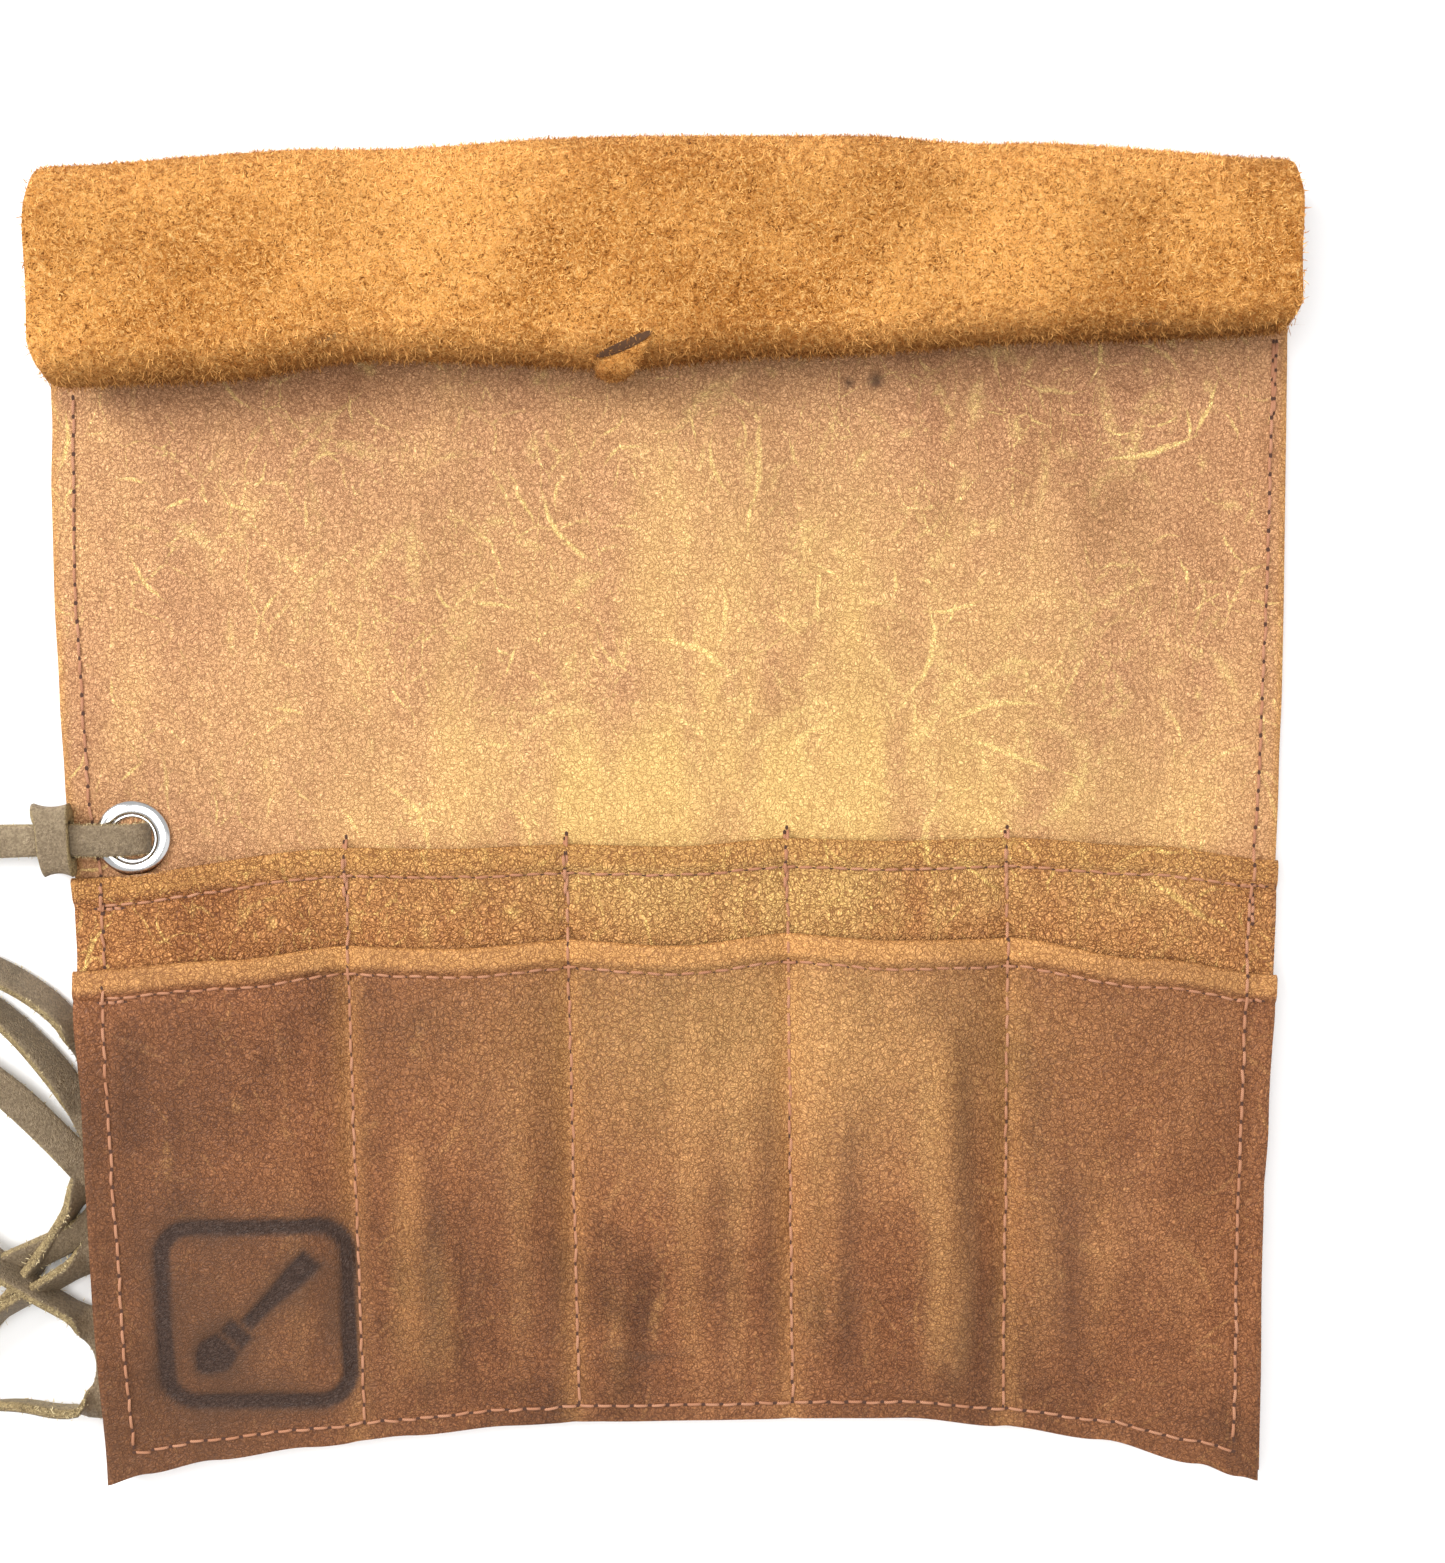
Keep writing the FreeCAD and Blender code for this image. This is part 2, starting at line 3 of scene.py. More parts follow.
import bmesh
import bpy
import numpy as np
from mathutils import Matrix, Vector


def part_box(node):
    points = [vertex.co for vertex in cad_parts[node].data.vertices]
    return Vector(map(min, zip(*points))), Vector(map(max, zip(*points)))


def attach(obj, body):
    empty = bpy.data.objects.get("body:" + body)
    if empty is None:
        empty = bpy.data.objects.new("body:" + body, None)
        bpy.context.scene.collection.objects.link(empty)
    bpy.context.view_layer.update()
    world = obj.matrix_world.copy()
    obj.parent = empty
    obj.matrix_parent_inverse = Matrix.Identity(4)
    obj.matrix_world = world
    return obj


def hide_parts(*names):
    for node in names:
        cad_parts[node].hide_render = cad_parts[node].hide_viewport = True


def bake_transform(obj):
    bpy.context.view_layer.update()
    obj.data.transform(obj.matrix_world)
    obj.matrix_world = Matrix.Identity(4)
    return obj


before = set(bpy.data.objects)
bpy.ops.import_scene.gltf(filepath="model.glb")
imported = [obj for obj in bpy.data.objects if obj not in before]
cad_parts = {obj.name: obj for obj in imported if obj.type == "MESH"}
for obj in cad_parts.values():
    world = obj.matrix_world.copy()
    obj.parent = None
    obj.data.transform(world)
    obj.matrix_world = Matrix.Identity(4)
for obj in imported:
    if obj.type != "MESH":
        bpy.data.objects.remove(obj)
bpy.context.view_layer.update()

MM = 0.001


def span(node):
    """Lowest and highest corner of a CAD node, in millimetres."""
    low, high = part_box(node)
    return np.array(low) / MM, np.array(high) / MM


# ---------------------------------------------------------------- places taken from the frame

PANEL_LOW, PANEL_HIGH = span("body_panel")
COVER_HIGH = span("outer_cover")[1]
BACK_UNDER = span("back_pocket_panel")[0][2]
FRONT_UNDER = span("front_pocket_panel")[0][2]
RING_LOW, RING_HIGH = span("eyelet_ring")
KEEPER_LOW, KEEPER_HIGH = span("lace_keeper")
HALF = PANEL_HIGH[0]
BOTTOM = PANEL_LOW[1]
HIDE = PANEL_HIGH[2] - PANEL_LOW[2]
PANEL_TOP = PANEL_HIGH[2]
POCKET_HIDE = 1.6
EYELET = (RING_LOW + RING_HIGH) / 2
DIVIDERS = [float((span(f"divider_thread_{k}")[0][0] + span(f"divider_thread_{k}")[1][0]) / 2)
            for k in (1, 2, 3, 4)]
SEAM_INSET = 7.0
HEM_INSET = 7.0
STITCH = 4.5


# ---------------------------------------------------------------- numbers into surfaces

def ease(t):
    """Smoothstep of t, held to 0..1: 3 t squared minus 2 t cubed."""
    t = np.clip(t, 0.0, 1.0)
    return t * t * (3 - 2 * t)


def xyz(x, y, z):
    """Points from their three coordinates."""
    return np.stack([x, y, z], axis=-1)


def through(x, points):
    """A smooth line through given (x, value) points: cosine easing from each to the next."""
    xs = np.array([p[0] for p in points], float)
    vs = np.array([p[1] for p in points], float)
    x = np.asarray(x, float)
    i = np.clip(np.searchsorted(xs, x) - 1, 0, len(xs) - 2)
    return vs[i] + (vs[i + 1] - vs[i]) * ease((x - xs[i]) / (xs[i + 1] - xs[i]))


def soft_noise(x, y, cell_x, cell_y, seed):
    """Smooth noise from -1 to 1: random values on a lattice of that cell, eased between corners."""
    table = np.random.default_rng(seed).uniform(-1, 1, (64, 64))
    gx, gy = np.asarray(x) / cell_x + 31.3, np.asarray(y) / cell_y + 17.9
    ix, iy = np.floor(gx).astype(int), np.floor(gy).astype(int)
    fx, fy = ease(gx - ix), ease(gy - iy)
    a = table[ix % 64, iy % 64] * (1 - fx) + table[(ix + 1) % 64, iy % 64] * fx
    b = table[ix % 64, (iy + 1) % 64] * (1 - fx) + table[(ix + 1) % 64, (iy + 1) % 64] * fx
    return a * (1 - fy) + b * fy


def grid_quads(rows, columns, first=0, around=False, closed=False):
    """Quads of a rows by columns grid of points; around joins the last row to the first, and
    closed joins the last column to the first."""
    r, c = np.meshgrid(np.arange(rows - (not around)), np.arange(columns - (not closed)), indexing="ij")
    r_next, c_next = (r + 1) % rows, (c + 1) % columns
    quads = np.stack([r * columns + c, r * columns + c_next, r_next * columns + c_next,
                      r_next * columns + c], axis=-1)
    return quads.reshape(-1, 4) + first


def piece(name, points, faces, *materials, smooth=True, attributes=None, mends=True):
    """One mesh object from points in millimetres and a list of faces."""
    mesh = bpy.data.meshes.new(name)
    faces = [list(map(int, f)) for f in faces]
    mesh.from_pydata((np.asarray(points, float) * MM).tolist(), [], faces)
    for key, values in (attributes or {}).items():
        layer = mesh.attributes.new(key, "FLOAT", "POINT")
        layer.data.foreach_set("value", np.asarray(values, np.float32).ravel())
    for material in materials:
        mesh.materials.append(material)
    if mends:
        work = bmesh.new()
        work.from_mesh(mesh)
        bmesh.ops.recalc_face_normals(work, faces=work.faces)
        work.to_mesh(mesh)
        work.free()
    mesh.polygons.foreach_set("use_smooth", [smooth] * len(mesh.polygons))
    if mends:
        mesh.set_sharp_from_angle(angle=math.radians(50))
    item = bpy.data.objects.new(name, mesh)
    bpy.context.scene.collection.objects.link(item)
    return item


def slab(name, top, under, *materials, attributes=None):
    """A closed sheet: a grid of points for its top, the same for its underside, and a rim round
    both. A second material, if there is one, goes on the underside."""
    rows, columns = top.shape[:2]
    count = rows * columns
    points = np.concatenate([top.reshape(-1, 3), under.reshape(-1, 3)])
    index = np.arange(count).reshape(rows, columns)
    ring = np.concatenate([index[0, :-1], index[:-1, -1], index[-1, :0:-1], index[:0:-1, 0]])
    after = np.roll(ring, -1)
    rim = np.stack([ring, after, after + count, ring + count], axis=-1)
    faces = np.concatenate([grid_quads(rows, columns), grid_quads(rows, columns, count)[:, ::-1],
                            rim])
    doubled = {key: np.concatenate([v.ravel(), np.zeros(count)])
               for key, v in (attributes or {}).items()}
    item = piece(name, points, faces, *materials, attributes=doubled)
    if len(materials) > 1:
        grid = (rows - 1) * (columns - 1)
        kinds = np.zeros(len(faces), np.int32)
        kinds[grid:2 * grid] = 1
        item.data.polygons.foreach_set("material_index", kinds)
    return item


def settle(item, slot, *replaced):
    """A finished piece rides the case and stands for any CAD nodes given, which are hidden; slot is not used.
    """
    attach(item, "case")
    if replaced:
        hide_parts(*replaced)


# ---------------------------------------------------------------- how the leather lies

def left_edge(y):
    """x of the case's left edge at y: it draws in towards the bottom."""
    run = through(y, [(-162, 3.6), (-110, 2.2), (-64, 1.4), (-27, -0.6), (-14, -0.8), (15, -2.6),
                      (35, -3.2), (59, -3.7), (83, -3.6), (103, -2.4), (150, -1.0)])
    return -HALF + run + 0.25 * soft_noise(y, 0 * y, 30, 9, 3)


def right_edge(y):
    """x of the case's right edge at y."""
    run = through(y, [(-162, -3.4), (-113, -3.6), (-88, -3.4), (-64, -2.2), (-14, 0.0), (15, 0.6),
                      (35, 1.0), (110, 0.9), (150, 0.6)])
    return HALF + run + 0.25 * soft_noise(y, 0 * y, 34, 9, 4)


def bottom_edge(x):
    """y of the bowed bottom edge at x, through set places."""
    rise = through(x, [(-147, -2.4), (-134, 0.6), (-117, 3.6), (-93, 6.8), (-68, 9.6), (-43, 11.8),
                       (-19, 12.8), (6, 13.0), (30, 13.2), (55, 13.0), (80, 10.4), (104, 6.8),
                       (129, 0.6), (139, -2.6), (147, -4.4)])
    return BOTTOM + rise + 0.25 * soft_noise(x, 0 * x, 26, 9, 5)


def lie(x, y):
    """How far the whole stack is lifted off the table: curled side edges below the eyelet."""
    low = ease((-26 - y) / 24) * (1 - 0.55 * ease((-130 - y) / 30))
    left = 5.2 * ease((-x - 116) / 31) ** 2 * low
    right = 2.4 * ease((x - 116) / 31) ** 2 * low
    swell = 0.5 + 0.5 * soft_noise(x, y, 70, 90, 6)
    middle = 0.9 * swell * ease((130 - np.abs(x)) / 40) * ease((y - BOTTOM) / 30) * ease((90 - y) / 30)
    return left + right + middle


def pocket_place(x):
    """Which of the five pockets x falls in, and how far across it, 0 to 1."""
    seams = np.array([-HALF + SEAM_INSET, *DIVIDERS, HALF - SEAM_INSET])
    i = np.clip(np.searchsorted(seams, x) - 1, 0, 4)
    return i, np.clip((x - seams[i]) / (seams[i + 1] - seams[i]), 0, 1)


def column_share(x):
    """0 at each seam and 1 in the middle of each pocket: a flattened half sine."""
    return np.sin(math.pi * pocket_place(x)[1]) ** 0.8


POCKET_FULLNESS = [0.75, 1.0, 0.9, 1.1, 0.95]
RIPPLES = [
    # x, low y, high y, width, height
    (-66, -150, -62, 5, 1.5), (-58, -150, -90, 4, 1.0), (-38, -140, -45, 6, 0.8),
    (-14, -152, -95, 5, 0.9), (4, -150, -40, 7, 0.8), (17, -146, -50, 5, 0.7),
    (38, -140, -40, 5, 1.2), (47, -150, -100, 4, 0.9), (66, -148, -38, 6, 1.6),
    (72, -150, -80, 4, 0.8), (92, -144, -60, 5, 0.9), (104, -150, -110, 4, 0.9),
    (121, -140, -50, 6, 0.6), (-93, -150, -60, 5, 0.7), (-124, -140, -60, 6, 0.5),
]


VALLEYS = [
    # x, low y, high y, width, strength: the shaded side of each fold
    (-62, -152, -66, 3.2, 0.75), (-53, -150, -84, 3.0, 0.55), (-33, -146, -52, 3.5, 0.55),
    (-9, -152, -100, 3.0, 0.6), (10, -150, -60, 3.5, 0.5), (21, -150, -48, 3.0, 0.6),
    (43, -146, -56, 3.0, 0.65), (71, -150, -40, 3.6, 1.0), (77, -152, -90, 3.0, 0.7),
    (97, -146, -66, 5.0, 0.7), (110, -140, -60, 5.0, 0.45), (-88, -150, -70, 3.0, 0.5),
]


def valley(x, y):
    """Shaded sides of the folds, 0 to 1: bells across that wander a little and fade at both ends."""
    total = np.zeros_like(x)
    for place, low, high, width, strength in VALLEYS:
        wander = 2.2 * soft_noise(y, 0 * y + place, 34, 9, 12)
        bell = np.exp(-((x - place - wander) / width) ** 2)
        total = np.maximum(total, strength * bell * ease((y - low) / 30) * ease((high - y) / 34))
    return total


def crest(x, y):
    """Lit sides of the folds, 0 to 1: the same bells, a little to the left."""
    return valley(x + 8.0, y)


def fullness(x):
    """How full each of the five pockets stands."""
    return np.array(POCKET_FULLNESS)[pocket_place(x)[0]]


def ripple(x, y):
    """Long soft folds down the pockets: a bell across, eased in and out along."""
    total = np.zeros_like(x)
    for place, low, high, width, height in RIPPLES:
        lean = 1.5 * soft_noise(y, 0 * y + place, 40, 9, 11)
        bell = np.exp(-((x - place - lean) / width) ** 2)
        total += height * bell * ease((y - low) / 22) * ease((high - y) / 22)
    return total


def puff(x, y, top, height):
    """Rise of a pocket sheet over the flat: its columns, closing towards the bottom."""
    open_end = ease((y - bottom_edge(x) - 7) / 55)
    near_hem = 0.55 + 0.45 * ease((top - y) / 25)
    return height * column_share(x) * fullness(x) * open_end * near_hem


def seam_dent(x, depth=0.5, reach=2.2):
    """The leather drawn down along each divider seam: a narrow bell."""
    total = np.zeros_like(x)
    for place in DIVIDERS:
        total += depth * np.exp(-((x - place) / reach) ** 2)
    return total


def back_hem(x):
    """y of the back pockets' turned edge."""
    return through(x, [(-147, -10.4), (-81, -3.4), (-54, -3.7), (-27, -3.0), (0, -3.6), (27, -1.9),
                       (54, -2.6), (81, -2.2), (115, -4.4), (147, -8.4)])


def front_hem(x):
    """y of the front pockets' turned edge."""
    return through(x, [(-147, -33.0), (-110, -30.2), (-81, -27.3), (-54, -27.6), (-27, -26.2),
                       (0, -27.4), (27, -25.0), (54, -26.4), (81, -26.6), (115, -31.6), (147, -36.4)])


def across(count, fine=(0.0, 0.0012, 0.003)):
    """Shares from 0 to 1 with a few close together at both ends, where the cut edge is rounded."""
    inner = np.linspace(0.006, 0.994, count)
    return np.concatenate([fine, inner, [1 - f for f in reversed(fine)]])


def edge_drop(share, along=0.4):
    """How far the top falls at the cut edge: a rounded shoulder."""
    near = np.minimum(share, 1 - share)
    return along * (1 - ease(near / 0.004)) ** 2


# ---------------------------------------------------------------- shader building

class Value:
    """A value in a node tree: sums written with it become nodes of the same tree."""

    def __init__(self, nodes, socket):
        self.nodes = nodes
        self.socket = socket

    def __add__(self, other):
        return self.nodes.maths("ADD", self, other)

    def __sub__(self, other):
        return self.nodes.maths("SUBTRACT", self, other)

    def __rsub__(self, other):
        return self.nodes.maths("SUBTRACT", other, self)

    def __mul__(self, other):
        return self.nodes.maths("MULTIPLY", self, other)

    def __truediv__(self, other):
        return self.nodes.maths("DIVIDE", self, other)

    def held(self):
        """The same sum, held to 0..1."""
        self.socket.node.use_clamp = True
        return self

    def step(self, low, high):
        """0 below low, 1 above high, smooth between."""
        made = self.nodes.add("ShaderNodeMapRange", {"interpolation_type": "SMOOTHSTEP"}, Value=self,
                              From_Min=low, From_Max=high)
        return Value(self.nodes, made.outputs["Result"])


class Nodes:
    """The nodes of one material or group, and the place that its patterns read."""

    def __init__(self, tree, where):
        self.tree = tree
        self.where = where

    def feed(self, socket, value):
        """A number or colour set on a socket, or a link to it."""
        value = getattr(value, "socket", value)
        if isinstance(value, bpy.types.NodeSocket):
            self.tree.links.new(value, socket)
        else:
            socket.default_value = value

    def add(self, kind, settings=None, **inputs):
        """A node with its properties and inputs set; an input called i0 is the first one."""
        made = self.tree.nodes.new(kind)
        for key, value in (settings or {}).items():
            setattr(made, key, value)
        for key, value in inputs.items():
            numbered = key[0] == "i" and key[1:].isdigit()
            self.feed(made.inputs[int(key[1:]) if numbered else key.replace("_", " ")], value)
        return made

    def maths(self, operation, a, b=0.0):
        """One arithmetic node."""
        return Value(self, self.add("ShaderNodeMath", {"operation": operation}, i0=a, i1=b).outputs[0])

    def noise(self, scale, detail=3.0, rough=0.55, warp=0.0, where=None):
        """Noise at that many cells to the metre."""
        made = self.add("ShaderNodeTexNoise", Vector=where or self.where, Scale=scale, Detail=detail,
                        Roughness=rough, Distortion=warp)
        return Value(self, made.outputs["Fac"])

    def spread(self, value, low, high):
        """Noise between 0.3 and 0.7 spread over low to high."""
        made = self.add("ShaderNodeMapRange", Value=value, From_Min=0.3, From_Max=0.7, To_Min=low,
                        To_Max=high)
        return Value(self, made.outputs["Result"])

    def shifted(self, scale, share):
        """The place, pushed about by noise."""
        push = self.add("ShaderNodeTexNoise", Vector=self.where, Scale=scale, Detail=2.0).outputs["Color"]
        return self.add("ShaderNodeMix", {"data_type": "VECTOR"}, i0=share, i4=self.where, i5=push).outputs[1]

    def stretched(self, where, scale, turn=(0, 0, 0)):
        """A place stretched and turned before a pattern reads it."""
        return self.add("ShaderNodeMapping", Vector=where, Scale=scale, Rotation=turn).outputs[0]

    def border(self, where, cells):
        """Distance to the border between cells."""
        made = self.add("ShaderNodeTexVoronoi", {"feature": "DISTANCE_TO_EDGE"}, Vector=where, Scale=cells)
        return Value(self, made.outputs["Distance"])

    def blend(self, share, a, b, mode="MIX"):
        """Mix of two colours."""
        made = self.add("ShaderNodeMix", {"data_type": "RGBA", "blend_type": mode}, i0=share, i6=a, i7=b)
        return made.outputs[2]

    def attribute(self, name):
        """A value painted on the mesh's points."""
        return Value(self, self.add("ShaderNodeAttribute", {"attribute_name": name}).outputs["Fac"])

    def group(self, tree, output, **inputs):
        """One output of a group placed here, which reads the same place."""
        made = self.add("ShaderNodeGroup", {"node_tree": tree}, Where=self.where, **inputs)
        return Value(self, made.outputs[output])

    def bump(self, height, strength, distance):
        """Bump from a height, in metres of distance."""
        return self.add("ShaderNodeBump", Strength=strength, Distance=distance, Height=height).outputs[0]

    def finish(self, **inputs):
        """Values and links of the material's Principled shader."""
        for key, value in inputs.items():
            self.feed(self.tree.nodes["Principled BSDF"].inputs[key.replace("_", " ")], value)

    def give(self, **outputs):
        """The group's outputs."""
        end = self.tree.nodes.new("NodeGroupOutput")
        for key, value in outputs.items():
            self.feed(end.inputs[key], value)
        return self.tree


def new_group(name, inputs, outputs):
    """A node group that reads a place, numbers and (where None is given) colours; gives its nodes
    and those inputs. An output called Color is a colour, and the others are numbers."""
    tree = bpy.data.node_groups.new(name, "ShaderNodeTree")
    tree.interface.new_socket("Where", in_out="INPUT", socket_type="NodeSocketVector")
    for label, value in inputs.items():
        kind = "NodeSocketColor" if value is None else "NodeSocketFloat"
        socket = tree.interface.new_socket(label, in_out="INPUT", socket_type=kind)
        if value is not None:
            socket.default_value = value
    for label in outputs:
        kind = "NodeSocketColor" if label == "Color" else "NodeSocketFloat"
        tree.interface.new_socket(label, in_out="OUTPUT", socket_type=kind)
    begin = tree.nodes.new("NodeGroupInput").outputs
    nodes = Nodes(tree, begin["Where"])
    return nodes, *[Value(nodes, begin[label]) for label in inputs]


def hide_grain_group():
    """Pores and creases of the grain side: cells of two sizes, with fine creases between."""
    nodes, cells = new_group("hide_grain", {"Cells": 1500.0}, ("Height", "Pores"))
    shifted = nodes.shifted(260.0, 0.0035)
    fine = nodes.border(shifted, cells).step(0.0, 0.28)
    broad = nodes.border(shifted, cells * 0.42).step(0.0, 0.22)
    both = fine * 0.6 + broad * 0.4
    return nodes.give(Height=both + nodes.noise(2600.0, 2.0) * 0.3, Pores=both)


def scratches_group():
    """Fine random scratches: thin parts of warped cell borders, kept only in patches."""
    nodes, amount = new_group("fine_scratches", {"Amount": 0.5}, ("Mask",))
    masks = []
    for index, (cells, turn, long) in enumerate(((34.0, 0.4, 2.6), (58.0, -0.7, 3.4), (46.0, 1.3, 1.6))):
        drawn = nodes.stretched(nodes.shifted(19.0 + 7 * index, 0.03), (long, 1.0, 1.0), (0, 0, turn))
        thin = 1.0 - nodes.border(drawn, cells).step(0.004, 0.022)
        masks.append(thin * nodes.noise(42.0 + 13 * index, 2.0).step(0.50, 0.62))
    total = nodes.maths("MAXIMUM", nodes.maths("MAXIMUM", masks[0], masks[1]), masks[2])
    return nodes.give(Mask=(total * nodes.noise(900.0).step(0.35, 0.62) * amount).held())


def pulled_up_group():
    """Oiled leather's cloudy colour: dark, middle and light patches that follow soft noise."""
    nodes, dark, middle, light = new_group("pull_up_clouds", dict.fromkeys(("Dark", "Middle", "Light")),
                                           ("Color",))
    streaks = nodes.noise(46.0, 4.0, 0.6, 0.4, nodes.stretched(nodes.where, (1.0, 0.35, 1.0)))
    mixed = nodes.noise(13.0, 4.0, 0.55, 0.6) * 0.62 + streaks * 0.38
    low = nodes.blend(mixed.step(0.34, 0.50), dark, middle)
    high = nodes.blend(mixed.step(0.50, 0.66), low, light)
    speck = nodes.blend(nodes.noise(1500.0, 2.0, 0.5).step(0.34, 0.66), (0.76, 0.72, 0.69, 1),
                        (1.16, 1.16, 1.16, 1))
    return nodes.give(Color=nodes.blend(1.0, high, speck, "MULTIPLY"))


def rub_strokes_group():
    """Curved rub marks: one bent bar in each flat Voronoi cell, turned by the cell's own random
    value, thinning towards both ends and left out of half the cells."""
    nodes, cells, length, width = new_group("rub_strokes", {"Cells": 30.0, "Length": 0.01, "Width": 0.0006},
                                            ("Mask",))
    cell = nodes.add("ShaderNodeTexVoronoi", {"voronoi_dimensions": "2D", "feature": "F1"},
                     Vector=nodes.where, Scale=cells)
    chance = nodes.add("ShaderNodeSeparateColor", Color=cell.outputs["Color"])
    turn, bend, keep = [Value(nodes, chance.outputs[k]) for k in range(3)]
    away = nodes.add("ShaderNodeVectorMath", {"operation": "SUBTRACT"}, i0=nodes.where,
                     i1=cell.outputs["Position"]).outputs["Vector"]
    turned = nodes.add("ShaderNodeVectorRotate", {"rotation_type": "Z_AXIS"}, Vector=away,
                       Angle=(turn - 1.07) * 2.9).outputs["Vector"]
    parts = nodes.add("ShaderNodeSeparateXYZ", Vector=turned)
    u, v = Value(nodes, parts.outputs["X"]), Value(nodes, parts.outputs["Y"])
    share = u / length
    square = share * share
    bowed = square * length * (bend - 0.5)
    off = nodes.maths("ABSOLUTE", v + bowed + (nodes.noise(240.0) - 0.5) * 0.0022)
    inside = ((width * (1.0 - square) - off) / width).held()
    present = ((keep - 0.34) * 2.6).held()
    return nodes.give(Mask=inside.step(0.05, 0.75) * present * nodes.noise(700.0).step(0.28, 0.50))


GRAIN = hide_grain_group()
SCRATCHES = scratches_group()
RUBS = rub_strokes_group()
CLOUDS = pulled_up_group()


def new_material(name):
    """A material and its nodes, whose patterns read Object coordinates."""
    material = bpy.data.materials.new(name)
    material.use_nodes = True
    tree = material.node_tree
    return material, Nodes(tree, tree.nodes.new("ShaderNodeTexCoord").outputs["Object"])


def grain_leather(name, dark, middle, light, cells, glow=0.0, scratch=0.5, rough=0.5,
                  bump_depth=0.00032, edge=(0.62, 0.32, 0.10, 1), pores=(0.50, 0.41, 0.34, 1),
                  rubs=0.7, mark=(1.0, 0.74, 0.28, 1)):
    """Oiled grain-side leather with clouds of colour, pores, rubs, scratches and a burnt mark, plus a painted
    golden highlight and dark marks mixed with painted shade.
    """
    material, nodes = new_material(name)
    grain = nodes.add("ShaderNodeGroup", {"node_tree": GRAIN}, Where=nodes.where, Cells=cells)
    colour = nodes.group(CLOUDS, "Color", Dark=dark, Middle=middle, Light=light)
    # Painted highlight: a golden colour mixed in where the mesh is painted with it, at the strength given.
    if glow:
        colour = nodes.blend((nodes.attribute("glow") * glow).held(), colour, (0.84, 0.56, 0.20, 1))
    colour = nodes.blend((nodes.attribute("rub") * 0.85).held(), colour, edge)
    fine = nodes.group(SCRATCHES, "Mask", Amount=scratch)
    stroke = (nodes.attribute("scratch") * nodes.noise(800.0).step(0.30, 0.60)).held()
    marks = nodes.maths("MAXIMUM", stroke * 0.75, fine)
    patch = nodes.noise(17.0, 2.0).step(0.34, 0.54)
    for cells_there, length, width, share in ((26.0, 0.0150, 0.0012, 1.0), (44.0, 0.0095, 0.0008, 1.0),
                                              (84.0, 0.0052, 0.0006, 0.9)):
        bars = nodes.group(RUBS, "Mask", Cells=cells_there, Length=length, Width=width)
        marks = nodes.maths("MAXIMUM", marks, bars * patch * (share * rubs))
    colour = nodes.blend((marks * 0.95).held(), colour, mark)
    shade = nodes.blend(grain.outputs["Pores"], pores, (1.24, 1.24, 1.24, 1))
    colour = nodes.blend(1.0, colour, shade, "MULTIPLY")
    # Dark marks and painted shade: where the mesh is painted with them, the colour goes towards a dark brown.
    colour = nodes.blend(nodes.attribute("soot"), colour, (0.090, 0.043, 0.022, 1))
    char = nodes.blend(nodes.noise(1300.0, 2.0).step(0.40, 0.66), (0.040, 0.021, 0.014, 1),
                       (0.064, 0.036, 0.025, 1))
    nodes.finish(Base_Color=nodes.blend(nodes.attribute("burn"), colour, char),
                 Roughness=nodes.spread(nodes.noise(60.0), rough - 0.06, rough + 0.10),
                 Specular_IOR_Level=0.24, Normal=nodes.bump(grain.outputs["Height"], 0.7, bump_depth))
    return material


def shaded(nodes, colour, shade):
    """A colour, darkened where the mesh is painted as turned away from the light."""
    return nodes.blend(nodes.attribute("deep"), colour, nodes.blend(1.0, colour, shade, "MULTIPLY"))


def suede(name, dark, light, tip, gap):
    """Flesh side of the hide: matted fibres with dark gaps, patchy where the nap lies over, and painted shade
    where the mesh is painted as turned away from the light.
    """
    material, nodes = new_material(name)
    broad = nodes.noise(17.0, 3.0, 0.55, 0.5) * 0.7 + nodes.noise(95.0, 3.0, 0.6, 1.2) * 0.3
    both = nodes.noise(1500.0, 3.0, 0.7, 1.8) * 0.4 + nodes.noise(560.0, 4.0, 0.7, 2.2) * 0.6
    colour = nodes.blend(broad.step(0.38, 0.60), dark, light)
    colour = nodes.blend(both.step(0.50, 0.64), colour, tip)
    deep = nodes.blend(both.step(0.38, 0.50), gap, (1, 1, 1, 1))
    colour = shaded(nodes, nodes.blend(1.0, colour, deep, "MULTIPLY"), (0.36, 0.30, 0.25, 1))
    stain = nodes.attribute("stain") * both.step(0.40, 0.52)
    nodes.finish(Base_Color=nodes.blend(stain, colour, (0.075, 0.040, 0.035, 1)), Roughness=0.95,
                 Specular_IOR_Level=0.08, Sheen_Weight=0.12, Sheen_Roughness=0.45,
                 Sheen_Tint=(1.0, 0.62, 0.28, 1), Normal=nodes.bump(both, 1.0, 0.0013))
    return material


def nap(name, dark, light):
    """Loose fibres, each of its own tone, with painted shade where the mesh is painted as turned away from
    the light.
    """
    material, nodes = new_material(name)
    mixed = nodes.noise(620.0, 2.0) * 0.7 + nodes.noise(17.0) * 0.3
    colour = nodes.blend(mixed.step(0.38, 0.62), dark, light)
    nodes.finish(Base_Color=shaded(nodes, colour, (0.45, 0.38, 0.32, 1)), Roughness=0.9,
                 Specular_IOR_Level=0.15)
    return material


